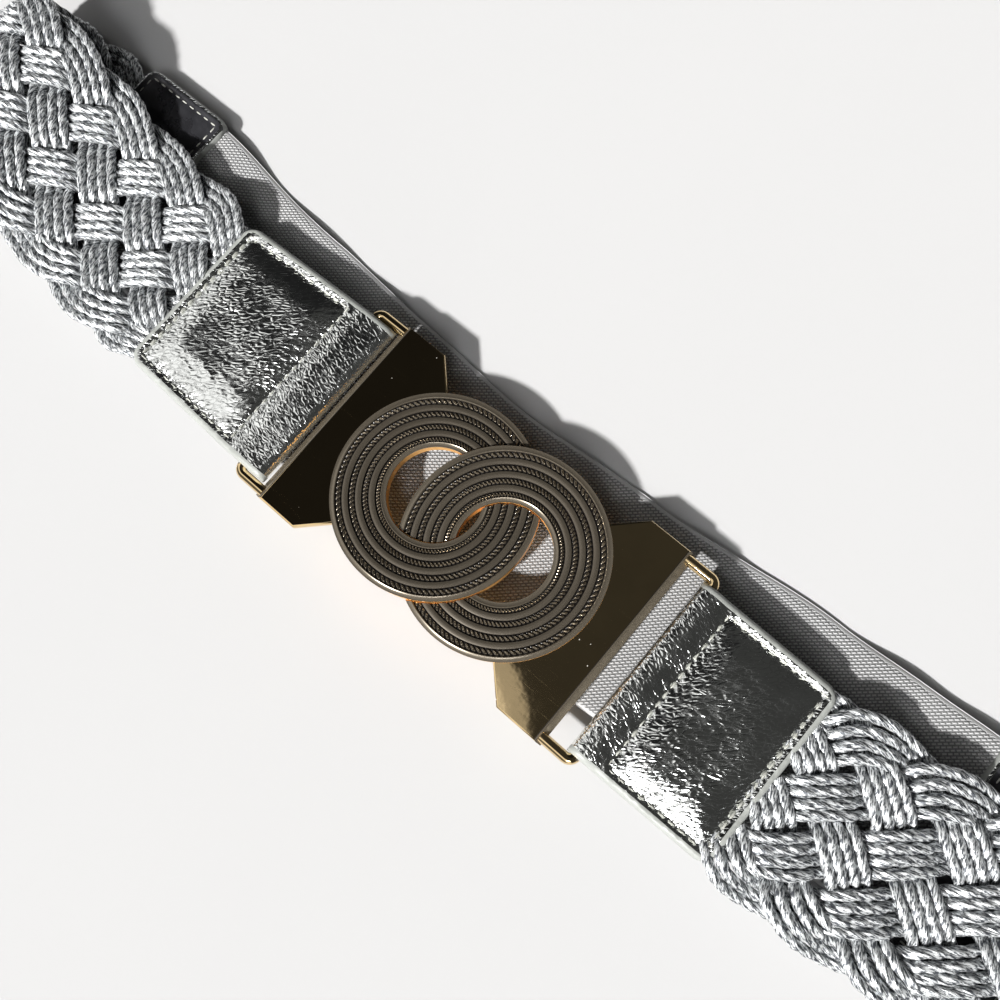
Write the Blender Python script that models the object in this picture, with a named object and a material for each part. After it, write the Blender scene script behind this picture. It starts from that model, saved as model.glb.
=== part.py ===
"""Elastic stretch belt, buckled and lying flattened on its back webbing.

X runs along the belt, Y across it and Z up, and the floor is Z = 0. The front
layer is buckle, leather tabs and plaited bands. Each band turns over at the
end of the flattened loop and meets a leather tab on the elastic webbing below.
All sizes are in metres.
"""
from math import atan2, cos, hypot, pi, radians, sin, sqrt

import bmesh
import bpy
from mathutils import Vector

# Fits
CLEARANCE = 0.0003          # gap between pieces that touch
LEATHER = 0.0012            # one layer of the tabs' leather

# Plaited band
PLAIT_THICKNESS = 0.0058
PLAIT_WIDTH = 0.054         # over the tips of the edge lobes
PLAIT_REPEAT = 0.0196       # along the belt, from one lobe to the next
LEFT_PLAIT_PHASE = 0.0038   # from the tab's end to the first lobe of the far edge
RIGHT_PLAIT_PHASE = 0.0102
LOBE_DEPTH = 0.0034         # how far the edge draws in between two lobes
LEFT_LOBE_LAG = 0.5         # lobe tips lie past their crossings, as a share of the repeat
RIGHT_LOBE_LAG = 0.15
WEAVE_RELIEF = 0.0012       # how deep the crossings lie
TONGUE_THICKNESS = 0.0018   # flattened band ends, sewn between the leathers
TONGUE_LENGTH = 0.006
TONGUE_WIDTH = 0.038

# Heights of the two layers
FRONT_LEVEL = 0.0088        # middle of the front layer over the floor
BACK_LEVEL = PLAIT_THICKNESS / 2

# Buckle casting
RING_RADIUS = 0.026
HOLE_RADIUS = 0.012
RING_SPACING = 0.0218       # between the two ring centres
RING_RISE = 0.0015          # ridge tops over the plate
RING_TILT = 0.03            # each ring rises towards the crossing where it is on top
RIDGE_HEIGHT = 0.0006
ROPE_DROP = 0.0001          # the rope rows lie this much under the smooth ridges
PLATE_THICKNESS = 0.002
PLATE_HALF_WIDTH = 0.0286
PLATE_REAR = 0.0463         # rear edge, from the buckle's middle
SHOULDER_LENGTH = 0.0133    # straight side of the plate, from the rear edge to the cut corner
PLATE_EDGE = 0.0004         # bevel round the polished face
ROD_DIAMETER = 0.0024       # lugs and cross bar
BAR_GAP = 0.0076            # from the plate's rear edge to the middle of the bar
ROD_BEND = 0.0016
LAP_DROP = 0.0004           # plane between the crossing rings, below the plate's top

# Leather tabs
TAB_HALF_WIDTH = 0.0252     # at the bar
SEAM_FROM_BAR = 0.0068      # cross seam beside the bar
LEFT_PAD_LENGTH = 0.0367    # from the cross seam to the tab's end
RIGHT_PAD_LENGTH = 0.0303
TAB_CORNER = 0.004
STITCH_INSET = 0.0029
SEAM_HALF = 0.0015          # half thickness where the leathers are sewn together
PAD_HALF = 0.0029           # half thickness of the padded middle
LEFT_END_HALF_WIDTH = 0.0238
RIGHT_END_HALF_WIDTH = 0.0248
REAR_TAB_START = 0.126
REAR_TAB_END = 0.157
REAR_TAB_HALF_WIDTH = 0.0272
REAR_OFFSET = 0.0153        # the back layer lies this far to one side

# Elastic webbing
WEB_WIDTH = 0.052
WEB_THICKNESS = 0.0016
WEB_BOW = 0.0095            # how far its middle hangs back from its ends
WEB_DROP_LENGTH = 0.022     # where it comes down from the tab to the floor
WEB_WAVE = 0.0017           # height of the highest wave

# End folds
FOLD_REACH = 0.192          # middle of the band at the fold, from the buckle's middle
FOLD_RADIUS = 0.008
RISE_START = 0.128          # where the front band starts to climb to the fold

# Worked out
PLATE_SHOULDER = PLATE_REAR - SHOULDER_LENGTH
BAR_REACH = PLATE_REAR + BAR_GAP
TAB_SEAM = BAR_REACH + SEAM_FROM_BAR
TAB_ENDS = {-1: TAB_SEAM + LEFT_PAD_LENGTH, 1: TAB_SEAM + RIGHT_PAD_LENGTH}
PLAIT_PHASES = {-1: LEFT_PLAIT_PHASE, 1: RIGHT_PLAIT_PHASE}
PLATE_TOP = FRONT_LEVEL + ROD_DIAMETER / 2
PLATE_BOTTOM = PLATE_TOP - PLATE_THICKNESS
LAP_LEVEL = PLATE_TOP - LAP_DROP
BAR_TUNNEL = ROD_DIAMETER / 2 + CLEARANCE
NOSE_HALF = BAR_TUNNEL + LEATHER
SLOT_HALF = TONGUE_THICKNESS / 2 + CLEARANCE
TAB_END_HALF = SLOT_HALF + LEATHER
LEFT_NOSE = PLATE_REAR + CLEARANCE
RIGHT_NOSE = BAR_REACH - NOSE_HALF
PLAIT_ROW = PLAIT_WIDTH / 6.6
REAR_EDGE = REAR_OFFSET + max(REAR_TAB_HALF_WIDTH, PLAIT_WIDTH / 2)
ACROSS_SHIFT = (PLATE_HALF_WIDTH - REAR_EDGE) / 2

# How finely round forms are divided
RING_SEGMENTS = 48
ROD_SIDES = 10
ROUTE_STEPS = 24            # of the climb to the fold, and again of the fold
WEB_STEPS = 44

# Ridges of the cast ring from its rim to its hole, as shares of its width
RIDGES = [
    {"kind": "rim", "share": 0.107},
    {"kind": "rope", "share": 0.107},
    {"kind": "round", "share": 0.129},
    {"kind": "rope", "share": 0.107},
    {"kind": "round", "share": 0.129},
    {"kind": "rope", "share": 0.107},
    {"kind": "round", "share": 0.129},
    {"kind": "rope", "share": 0.086},
    {"kind": "rim", "share": 0.099},
]

# Sections of the padded leather from the cross seam to the tab's end
PAD_SECTIONS = [
    {"along": 0.00, "puff": 0.00},
    {"along": 0.09, "puff": 0.72},
    {"along": 0.30, "puff": 1.00},
    {"along": 0.60, "puff": 1.00},
    {"along": 0.80, "puff": 0.85},
]

# Sideways bow of the webbing, from its left end to its right end
WEB_LINE = [
    {"along": -1.00, "aside": 1.00},
    {"along": -0.60, "aside": 0.45},
    {"along": -0.35, "aside": 0.20},
    {"along": -0.08, "aside": 0.00},
    {"along": 0.25, "aside": 0.28},
    {"along": 0.62, "aside": 0.78},
    {"along": 1.00, "aside": 1.00},
]

# Waves of the webbing: middle and half length as shares of its half length
WEB_WAVES = [
    {"along": -0.70, "reach": 0.13, "height": 0.60, "skew": 0.10},
    {"along": -0.37, "reach": 0.12, "height": 0.80, "skew": -0.08},
    {"along": 0.03, "reach": 0.11, "height": 0.55, "skew": 0.06},
    {"along": 0.40, "reach": 0.12, "height": 0.75, "skew": -0.10},
    {"along": 0.72, "reach": 0.14, "height": 1.00, "skew": 0.12},
]


def clear_scene():
    for old in list(bpy.data.objects):
        bpy.data.objects.remove(old, do_unlink=True)


def make_material(name, colour, roughness, metallic):
    material = bpy.data.materials.new(name)
    material.use_nodes = True
    shader = material.node_tree.nodes["Principled BSDF"]
    shader.inputs["Base Color"].default_value = (*colour, 1.0)
    shader.inputs["Roughness"].default_value = roughness
    shader.inputs["Metallic"].default_value = metallic
    material.diffuse_color = (*colour, 1.0)
    return material


def add_object(name, bm, material=None, sharp=35):
    """Turns a bmesh into a named object, shaded smooth between sharp edges."""
    bmesh.ops.recalc_face_normals(bm, faces=bm.faces)
    mesh = bpy.data.meshes.new(name)
    bm.to_mesh(mesh)
    bm.free()
    mesh.shade_smooth()
    mesh.set_sharp_from_angle(angle=radians(sharp))
    obj = bpy.data.objects.new(name, mesh)
    bpy.context.scene.collection.objects.link(obj)
    if material:
        mesh.materials.append(material)
    return obj


def skin_sections(sections, closed=False):
    """Joins equal loops of points into one closed body."""
    bm = bmesh.new()
    loops = [[bm.verts.new(point) for point in section] for section in sections]
    count = len(loops[0])
    pairs = list(zip(loops, loops[1:]))
    if closed:
        pairs.append((loops[-1], loops[0]))
    for near, far in pairs:
        for i in range(count):
            j = (i + 1) % count
            bm.faces.new((near[i], near[j], far[j], far[i]))
    if not closed:
        bm.faces.new(list(reversed(loops[0])))
        bm.faces.new(loops[-1])
    return bm


def extrude_outline(outline, low, high):
    """Upright prism on an outline of (x, y) points."""
    return skin_sections([[(x, y, z) for x, y in outline] for z in (low, high)])


def smooth_step(share):
    share = min(1.0, max(0.0, share))
    return share * share * (3 - 2 * share)


def blend(rows, key, value, at):
    """Reads a table between its rows, with a smooth step from row to row."""
    for low, high in zip(rows, rows[1:]):
        if at <= high[key]:
            share = (at - low[key]) / (high[key] - low[key])
            return low[value] + (high[value] - low[value]) * smooth_step(share)
    return rows[-1][value]


def hide_tool(obj):
    obj.hide_render = True
    obj.display_type = "WIRE"
    return obj


def add_boolean(obj, tool, operation):
    modifier = obj.modifiers.new(tool.name, "BOOLEAN")
    modifier.operation = operation
    modifier.solver = "EXACT"
    modifier.object = hide_tool(tool)


# Buckle


def ring_profile():
    """Points of the ring's top from rim to hole: radius and height over the plate."""
    width = RING_RADIUS - HOLE_RADIUS
    valley = RING_RISE - RIDGE_HEIGHT
    radius = RING_RADIUS
    points = [(radius, valley)]
    for ridge in RIDGES:
        step = width * ridge["share"]
        peak = RING_RISE - (ROPE_DROP if ridge["kind"] == "rope" else 0.0)
        points.append((radius - step / 2, peak))
        radius -= step
        points.append((radius, valley))
    points[-1] = (HOLE_RADIUS, valley)
    return points


def ring_body(side):
    """Turned ring with ridges, tilted so that its over crossing lies higher."""
    centre = side * RING_SPACING / 2
    sections = []
    for step in range(RING_SEGMENTS):
        angle = 2 * pi * step / RING_SEGMENTS
        section = []
        for radius, height in ring_profile():
            x = centre + radius * cos(angle)
            y = radius * sin(angle)
            section.append((x, y, PLATE_TOP + height + side * RING_TILT * y))
        for radius in (HOLE_RADIUS, RING_RADIUS):
            x = centre + radius * cos(angle)
            section.append((x, radius * sin(angle), PLATE_BOTTOM))
        sections.append(section)
    return skin_sections(sections, closed=True)


def plate_body(side):
    """Flat plate with cut corners, running in under the ring."""
    inner = RING_SPACING / 2 + HOLE_RADIUS + LEATHER
    inner_half = PLATE_HALF_WIDTH - (PLATE_SHOULDER - inner)
    outline = [
        (inner, -inner_half), (PLATE_SHOULDER, -PLATE_HALF_WIDTH),
        (PLATE_REAR, -PLATE_HALF_WIDTH), (PLATE_REAR, PLATE_HALF_WIDTH),
        (PLATE_SHOULDER, PLATE_HALF_WIDTH), (inner, inner_half),
    ]
    outline = [(side * x, y) for x, y in outline]
    underside = PLATE_BOTTOM + PLATE_EDGE / 4
    bm = extrude_outline(outline, underside, PLATE_TOP)
    top_edges = [edge for edge in bm.edges if all(v.co.z > PLATE_TOP - CLEARANCE for v in edge.verts)]
    bmesh.ops.bevel(bm, geom=top_edges, offset=PLATE_EDGE, segments=1, affect="EDGES")
    return bm


def rod_body(side):
    """Lugs and cross bar, one bent rod from corner to corner of the plate."""
    half = PLATE_HALF_WIDTH - ROD_DIAMETER / 2 - PLATE_EDGE
    start = PLATE_REAR - ROD_DIAMETER / 2
    route = [(start, -half)]
    for corner_y, turn in ((-half, -pi / 2), (half, 0.0)):
        centre_y = corner_y + ROD_BEND * (1 if corner_y < 0 else -1)
        for step in range(4):
            angle = turn + step * pi / 6
            x = BAR_REACH - ROD_BEND + ROD_BEND * cos(angle)
            route.append((x, centre_y + ROD_BEND * sin(angle)))
    route.append((start, half))
    sections = []
    for i, (x, y) in enumerate(route):
        before = Vector(route[max(i - 1, 0)])
        after = Vector(route[min(i + 1, len(route) - 1)])
        ahead = (after - before).normalized()
        aside = Vector((-ahead.y, ahead.x))
        section = []
        for step in range(ROD_SIDES):
            angle = 2 * pi * (step + 0.5) / ROD_SIDES
            out = ROD_DIAMETER / 2 * cos(angle)
            up = ROD_DIAMETER / 2 * sin(angle)
            section.append((side * (x + aside.x * out), y + aside.y * out, FRONT_LEVEL + up))
        sections.append(section)
    return skin_sections(sections)


def lap_cutter(side, half, low, high):
    """Half annulus over the other ring, where that ring crosses this one."""
    centre = -side * RING_SPACING / 2
    inner = HOLE_RADIUS - CLEARANCE
    outer = RING_RADIUS + CLEARANCE
    sections = []
    for step in range(RING_SEGMENTS // 2 + 1):
        angle = 2 * pi * step / RING_SEGMENTS
        section = []
        for radius, z in ((inner, low), (outer, low), (outer, high), (inner, high)):
            section.append((centre + radius * cos(angle), half * radius * sin(angle), z))
        sections.append(section)
    return skin_sections(sections)


def make_buckle_half(name, side, material):
    """One casting: ring, plate, lugs and bar. Each ring is on top at one crossing."""
    half = add_object(name, ring_body(side), material, sharp=25)
    add_boolean(half, add_object(name + "_plate", plate_body(side)), "UNION")
    add_boolean(half, add_object(name + "_rod", rod_body(side)), "UNION")
    far = PLATE_TOP + RING_RADIUS
    over_cut = lap_cutter(side, side, -far, LAP_LEVEL + CLEARANCE / 2)
    under_cut = lap_cutter(side, -side, LAP_LEVEL - CLEARANCE / 2, far)
    add_boolean(half, add_object(name + "_over", over_cut), "DIFFERENCE")
    add_boolean(half, add_object(name + "_under", under_cut), "DIFFERENCE")
    return half


# Leather tabs


def tab_rows(half_width):
    """Places across a tab: both edges, both stitch lines and the padded middle."""
    stitch = half_width - STITCH_INSET
    rows = [(half_width, 0.0), (stitch, 0.12), (0.86 * stitch, 0.75), (0.45 * stitch, 0.97), (0.0, 1.0)]
    return [(-y, puff) for y, puff in rows] + [(y, puff) for y, puff in reversed(rows[:-1])]


def tab_section(x, half_width, edge_half, middle_half, level, offset):
    """One loop across a tab, thin at its edges and thick where it is padded."""
    rows = [(y, edge_half + (middle_half - edge_half) * puff) for y, puff in tab_rows(half_width)]
    top = [(x, offset + y, level + thick) for y, thick in rows]
    bottom = [(x, offset + y, level - thick) for y, thick in reversed(rows)]
    return top + bottom


def rounded_half_width(x, end, corner, half_width):
    """Half width of a tab near its rounded outer corners."""
    into = corner - (end - x)
    if into <= 0:
        return half_width
    return half_width - corner + sqrt(max(corner * corner - into * into, 0.0))


def front_tab_sections(side, nose, end_half_width):
    """Leather folded round the bar, seamed beside it and padded to its end."""
    end = TAB_ENDS[side]
    sections = []
    for step in range(1, 5):
        angle = step * pi / 8
        x = nose + NOSE_HALF * (1 - cos(angle))
        thick = NOSE_HALF * sin(angle)
        sections.append((x, TAB_HALF_WIDTH, thick, thick))
    sections.append((BAR_REACH + BAR_TUNNEL, TAB_HALF_WIDTH, NOSE_HALF, NOSE_HALF))
    sections.append((TAB_SEAM - LEATHER, TAB_HALF_WIDTH, SEAM_HALF * 1.1, SEAM_HALF * 1.1))
    length = end - TAB_SEAM
    for row in PAD_SECTIONS:
        half_width = TAB_HALF_WIDTH + (end_half_width - TAB_HALF_WIDTH) * row["along"]
        thick = SEAM_HALF + (PAD_HALF - SEAM_HALF) * row["puff"]
        sections.append((TAB_SEAM + length * row["along"], half_width, SEAM_HALF, thick))
    for step in range(4):
        angle = step * pi / 6
        x = end - TAB_CORNER * (1 - sin(angle))
        half_width = rounded_half_width(x, end, TAB_CORNER, end_half_width)
        sections.append((x, half_width, TAB_END_HALF - LEATHER / 2, TAB_END_HALF))
    return [
        [(side * x, y, z) for x, y, z in tab_section(at, wide, edge, middle, FRONT_LEVEL, 0.0)]
        for at, wide, edge, middle in sections
    ]


def tunnel_cutter(side, nose):
    """Long hole for the bar, as long as the fold is slack."""
    low = nose + NOSE_HALF
    outline = []
    for x, start in ((low, pi / 2), (BAR_REACH, -pi / 2)):
        for step in range(7):
            angle = start + step * pi / 6
            outline.append((x + BAR_TUNNEL * cos(angle), FRONT_LEVEL + BAR_TUNNEL * sin(angle)))
    if BAR_REACH - low < CLEARANCE:
        outline = outline[:6] + outline[7:-1]
    wide = 2 * TAB_HALF_WIDTH
    return skin_sections([[(side * x, y, z) for x, z in outline] for y in (-wide, wide)])


def slot_cutter(side, start, end, half_width, half_height, level, offset):
    """Flat pocket between the two leathers."""
    outline = [(side * start, offset - half_width), (side * end, offset - half_width),
               (side * end, offset + half_width), (side * start, offset + half_width)]
    return extrude_outline(outline, level - half_height, level + half_height)


def make_front_tab(name, side, nose, end_half_width, material):
    sections = front_tab_sections(side, nose, end_half_width)
    tab = add_object(name, skin_sections(sections), material, sharp=50)
    add_boolean(tab, add_object(name + "_tunnel", tunnel_cutter(side, nose)), "DIFFERENCE")
    end = TAB_ENDS[side]
    pocket = slot_cutter(side, end - TONGUE_LENGTH - CLEARANCE, end + LEATHER,
                         TONGUE_WIDTH / 2 + CLEARANCE, SLOT_HALF, FRONT_LEVEL, 0.0)
    add_boolean(tab, add_object(name + "_pocket", pocket), "DIFFERENCE")
    return tab


def make_rear_tab(name, side, material):
    """Flat sewn tab between the plait and the webbing, on the floor."""
    length = REAR_TAB_END - REAR_TAB_START
    places = []
    for step in range(4):
        angle = step * pi / 6
        places.append(TAB_CORNER * (1 - sin(pi / 2 - angle)))
    sections = []
    for into in places:
        sections.append((REAR_TAB_START + into, TAB_CORNER - into, TAB_END_HALF))
    sections.append((REAR_TAB_START + length / 2, 0.0, TAB_END_HALF + LEATHER / 6))
    for into in reversed(places):
        sections.append((REAR_TAB_END - into, TAB_CORNER - into, TAB_END_HALF))
    loops = []
    for x, into, thick in sections:
        bite = TAB_CORNER - sqrt(max(TAB_CORNER ** 2 - max(into, 0.0) ** 2, 0.0))
        half_width = REAR_TAB_HALF_WIDTH - bite
        loop = tab_section(x, half_width, TAB_END_HALF - LEATHER / 2, thick, BACK_LEVEL, REAR_OFFSET)
        loops.append([(side * px, y, z) for px, y, z in loop])
    tab = add_object(name, skin_sections(loops), material, sharp=50)
    plait_pocket = slot_cutter(side, REAR_TAB_END - TONGUE_LENGTH - CLEARANCE, REAR_TAB_END + LEATHER,
                               TONGUE_WIDTH / 2 + CLEARANCE, SLOT_HALF, BACK_LEVEL, REAR_OFFSET)
    web_pocket = slot_cutter(side, REAR_TAB_START - LEATHER, REAR_TAB_START + TONGUE_LENGTH + CLEARANCE,
                             TONGUE_WIDTH / 2 + CLEARANCE, WEB_THICKNESS / 2 + CLEARANCE,
                             BACK_LEVEL, REAR_OFFSET)
    add_boolean(tab, add_object(name + "_plait_pocket", plait_pocket), "DIFFERENCE")
    add_boolean(tab, add_object(name + "_web_pocket", web_pocket), "DIFFERENCE")
    return tab


# Plaited bands


def band_route(side):
    """Middle line of a band from the front tab's end, over the fold, to the rear tab."""
    turn_x = FOLD_REACH - FOLD_RADIUS
    top = BACK_LEVEL + 2 * FOLD_RADIUS
    points = [(TAB_ENDS[side] - TONGUE_LENGTH, FRONT_LEVEL), (RISE_START, FRONT_LEVEL)]
    for step in range(1, ROUTE_STEPS + 1):
        share = step / ROUTE_STEPS
        climb = (1 - cos(pi * share)) / 2
        points.append((RISE_START + (turn_x - RISE_START) * share,
                       FRONT_LEVEL + (top - FRONT_LEVEL) * climb))
    for step in range(1, ROUTE_STEPS + 1):
        angle = pi / 2 - pi * step / ROUTE_STEPS
        points.append((turn_x + FOLD_RADIUS * cos(angle), BACK_LEVEL + FOLD_RADIUS * (1 + sin(angle))))
    points.append((REAR_TAB_END - TONGUE_LENGTH, BACK_LEVEL))
    return points


def route_lengths(points):
    lengths = [0.0]
    for (x0, z0), (x1, z1) in zip(points, points[1:]):
        lengths.append(lengths[-1] + hypot(x1 - x0, z1 - z0))
    return lengths


def route_place(points, lengths, at):
    """Point on the route at a length, with the direction it runs in."""
    for i in range(len(points) - 1):
        if at <= lengths[i + 1] or i == len(points) - 2:
            share = (at - lengths[i]) / (lengths[i + 1] - lengths[i])
            x0, z0 = points[i]
            x1, z1 = points[i + 1]
            return x0 + (x1 - x0) * share, z0 + (z1 - z0) * share, atan2(z1 - z0, x1 - x0)


def weave_height(along, across, phase):
    """Pillow over the nearest crossing: 1 on its middle, 0 in the holes between four."""
    best = 0.0
    row = across / PLAIT_ROW - 0.5
    for near_row in (int(row // 1), int(row // 1) + 1):
        shift = phase + (near_row % 2) * PLAIT_REPEAT / 2
        column = round((along - shift) / PLAIT_REPEAT)
        dx = (along - shift - column * PLAIT_REPEAT) / (PLAIT_REPEAT / 2)
        dy = (row - near_row)
        best = max(best, 1 - dx * dx - dy * dy)
    return best


def lobe_edge(along, edge, side):
    """Half width of the band at its far (+1) or near (-1) edge, drawn in between lobes."""
    row = 2 if edge > 0 else -3
    lag = LEFT_LOBE_LAG if side < 0 else RIGHT_LOBE_LAG
    shift = PLAIT_PHASES[side] + (row % 2) * PLAIT_REPEAT / 2 + lag * PLAIT_REPEAT
    phase = (along - shift) / PLAIT_REPEAT
    off = 2 * (phase - round(phase))
    return PLAIT_WIDTH / 2 - LOBE_DEPTH * off * off


def band_stations(lengths, side):
    """Lengths at which the band gets a section, closer together round the fold."""
    step = PLAIT_REPEAT / 4
    start = TONGUE_LENGTH + 2 * CLEARANCE
    end = lengths[-1] - start
    fold_from = lengths[ROUTE_STEPS + 1]
    fold_to = lengths[2 * ROUTE_STEPS + 1]
    stations = [start, start + LEATHER * 2]
    at = TONGUE_LENGTH + PLAIT_PHASES[side] - step
    while at < stations[-1]:
        at += step
    while at < end - step / 2:
        stations.append(at)
        in_fold = fold_from - step < at < fold_to
        at += step / 2 if in_fold else step
    stations += [end - LEATHER * 2, end]
    return sorted(set(round(at, 7) for at in stations))


def band_section(points, lengths, at, side):
    """One loop across the band with its woven relief, or a flat loop in a tongue."""
    x, z, heading = route_place(points, lengths, at)
    total = lengths[-1]
    offset = REAR_OFFSET * smooth_step((at - TONGUE_LENGTH) / (total - 2 * TONGUE_LENGTH))
    from_end = min(at, total - at) - TONGUE_LENGTH
    full = smooth_step((from_end + LEATHER) / (3 * LEATHER + TONGUE_THICKNESS))
    along = at - TONGUE_LENGTH
    rows = []
    for k in range(-5, 6):
        across = k * PLAIT_ROW / 2
        rise = PLAIT_THICKNESS / 2 - WEAVE_RELIEF * (1 - weave_height(along, across, PLAIT_PHASES[side]))
        rows.append((across, rise))
    near = -lobe_edge(along, -1, side)
    far = lobe_edge(along, 1, side)
    rim = PLAIT_THICKNESS * 0.28
    rows = [(near + rim / 2, rim)] + rows + [(far - rim / 2, rim)]
    if from_end < 1.5 * CLEARANCE:
        rows = [(TONGUE_WIDTH * (k / 12 - 0.5), TONGUE_THICKNESS / 2) for k in range(13)]
        near, far = -TONGUE_WIDTH / 2, TONGUE_WIDTH / 2
    else:
        rows = [(y, TONGUE_THICKNESS / 2 + (rise - TONGUE_THICKNESS / 2) * full) for y, rise in rows]
    up_x, up_z = -sin(heading), cos(heading)
    loop = []
    for y, rise in [(near, 0.0)] + rows + [(far, 0.0)]:
        loop.append((side * (x + up_x * rise), offset + y, z + up_z * rise))
    for y, rise in reversed(rows):
        loop.append((side * (x - up_x * rise), offset + y, z - up_z * rise))
    return loop


def make_plait(name, side, material):
    points = band_route(side)
    lengths = route_lengths(points)
    total = lengths[-1]
    stations = band_stations(lengths, side)
    tongue = TONGUE_LENGTH + CLEARANCE
    stations = [CLEARANCE, tongue] + stations + [total - tongue, total - CLEARANCE]
    sections = [band_section(points, lengths, at, side) for at in stations]
    return add_object(name, skin_sections(sections), material, sharp=60)


# Elastic webbing


def web_level(x, y, half_length):
    """Height of the webbing's underside: waves on the floor and a ramp to each tab."""
    along = x / half_length
    height = 0.0
    for wave in WEB_WAVES:
        off = (along - wave["along"] - wave["skew"] * y / WEB_WIDTH) / wave["reach"]
        if abs(off) < 1:
            height = max(height, WEB_WAVE * wave["height"] * (1 + cos(pi * off)) / 2)
    ramp = smooth_step((abs(x) - REAR_TAB_START + WEB_DROP_LENGTH) / (WEB_DROP_LENGTH - 2 * LEATHER))
    seat = BACK_LEVEL - WEB_THICKNESS / 2
    return height + (seat - height) * ramp


def make_webbing(name, material):
    half_length = REAR_TAB_START + TONGUE_LENGTH
    neck = REAR_TAB_START - CLEARANCE
    inner = neck - LEATHER / 4
    places = [-half_length, -neck]
    places += [inner * (2 * i / WEB_STEPS - 1) for i in range(WEB_STEPS + 1)]
    places += [neck, half_length]
    sections = []
    for x in places:
        inside = abs(x) >= neck
        half_width = TONGUE_WIDTH / 2 if inside else WEB_WIDTH / 2
        bow = blend(WEB_LINE, "along", "aside", x / half_length)
        middle = REAR_OFFSET - WEB_BOW * (1 - bow)
        if inside:
            middle = REAR_OFFSET
        rows = [half_width * k / 3 for k in range(-3, 4)]
        bottom = [(x, middle + y, web_level(x, y, half_length)) for y in rows]
        top = [(px, py, pz + WEB_THICKNESS) for px, py, pz in reversed(bottom)]
        sections.append(bottom + top)
    return add_object(name, skin_sections(sections), material, sharp=50)


def build_belt():
    clear_scene()
    gold = make_material("gold_plated_casting", (0.72, 0.60, 0.38), 0.22, 1.0)
    leather = make_material("silver_foil_leather", (0.62, 0.63, 0.62), 0.32, 0.8)
    cord = make_material("silver_twisted_cord", (0.50, 0.51, 0.50), 0.45, 0.6)
    webbing = make_material("grey_elastic_webbing", (0.38, 0.38, 0.39), 0.85, 0.0)

    belt = bpy.data.objects.new("belt", None)
    bpy.context.scene.collection.objects.link(belt)
    belt.location = (0.0, ACROSS_SHIFT, 0.0)

    make_buckle_half("buckle_half_left", -1, gold)
    make_buckle_half("buckle_half_right", 1, gold)
    make_front_tab("front_tab_left", -1, LEFT_NOSE, LEFT_END_HALF_WIDTH, leather)
    make_front_tab("front_tab_right", 1, RIGHT_NOSE, RIGHT_END_HALF_WIDTH, leather)
    make_plait("plait_left", -1, cord)
    make_plait("plait_right", 1, cord)
    make_rear_tab("rear_tab_left", -1, leather)
    make_rear_tab("rear_tab_right", 1, leather)
    make_webbing("elastic_web", webbing)

    for obj in bpy.data.objects:
        if obj is not belt:
            obj.parent = belt


build_belt()
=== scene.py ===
"""Looks of the elastic stretch belt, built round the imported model.

X runs along the belt, Y across it and Z up, in metres. Each piece is made of
bmesh operators in a flat layout first, and a function then carries its points
to their place on the belt.
"""

from math import atan2, cos, exp, hypot, pi, radians, sin, sqrt, tanh

import bmesh
import bpy
from bpy.props import FloatProperty, FloatVectorProperty, IntProperty, PointerProperty
from mathutils import Matrix, Vector, noise


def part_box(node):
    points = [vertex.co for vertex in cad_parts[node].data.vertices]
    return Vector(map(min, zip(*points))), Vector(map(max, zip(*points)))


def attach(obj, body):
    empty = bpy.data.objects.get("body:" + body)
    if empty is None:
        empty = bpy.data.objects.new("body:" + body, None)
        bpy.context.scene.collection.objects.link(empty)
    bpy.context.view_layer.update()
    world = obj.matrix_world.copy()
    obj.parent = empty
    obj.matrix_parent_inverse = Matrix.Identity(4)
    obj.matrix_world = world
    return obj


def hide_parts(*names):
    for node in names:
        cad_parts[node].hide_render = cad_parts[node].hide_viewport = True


bl_info = {
    "name": "Elastic stretch belt",
    "version": (1, 0, 0),
    "blender": (4, 5, 0),
    "location": "3D View > Sidebar > Belt",
    "description": "Dresses the packed model of a buckled belt: cast rings, foil leather, plait and webbing",
    "category": "Object",
}

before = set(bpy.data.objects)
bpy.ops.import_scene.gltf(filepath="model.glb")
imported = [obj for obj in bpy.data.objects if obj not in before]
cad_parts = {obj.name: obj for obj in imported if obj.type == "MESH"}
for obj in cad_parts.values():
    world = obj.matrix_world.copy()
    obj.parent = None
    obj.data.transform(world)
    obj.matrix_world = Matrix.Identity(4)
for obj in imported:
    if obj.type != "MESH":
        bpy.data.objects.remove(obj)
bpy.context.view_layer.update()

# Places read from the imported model
BUCKLE_LOW, BUCKLE_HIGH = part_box("buckle_half_right")
MIDLINE = (BUCKLE_LOW[1] + BUCKLE_HIGH[1]) / 2
HALF_PLATE = (BUCKLE_HIGH[1] - BUCKLE_LOW[1]) / 2
WEB_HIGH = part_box("elastic_web")[1]
REAR_LOW, REAR_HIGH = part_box("rear_tab_right")
REAR_ASIDE = (REAR_LOW[1] + REAR_HIGH[1]) / 2 - MIDLINE
TAB_BOXES = {side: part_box("front_tab_" + name) for side, name in ((-1, "left"), (1, "right"))}
SIDES = {"left": -1, "right": 1}

# Ridges of the cast ring from rim to hole, as shares of its width
RIDGES = [
    {"kind": "rim", "share": 0.107},
    {"kind": "rope", "share": 0.107},
    {"kind": "round", "share": 0.129},
    {"kind": "rope", "share": 0.107},
    {"kind": "round", "share": 0.129},
    {"kind": "rope", "share": 0.107},
    {"kind": "round", "share": 0.129},
    {"kind": "rope", "share": 0.086},
    {"kind": "hole rim", "share": 0.099},
]

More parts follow.
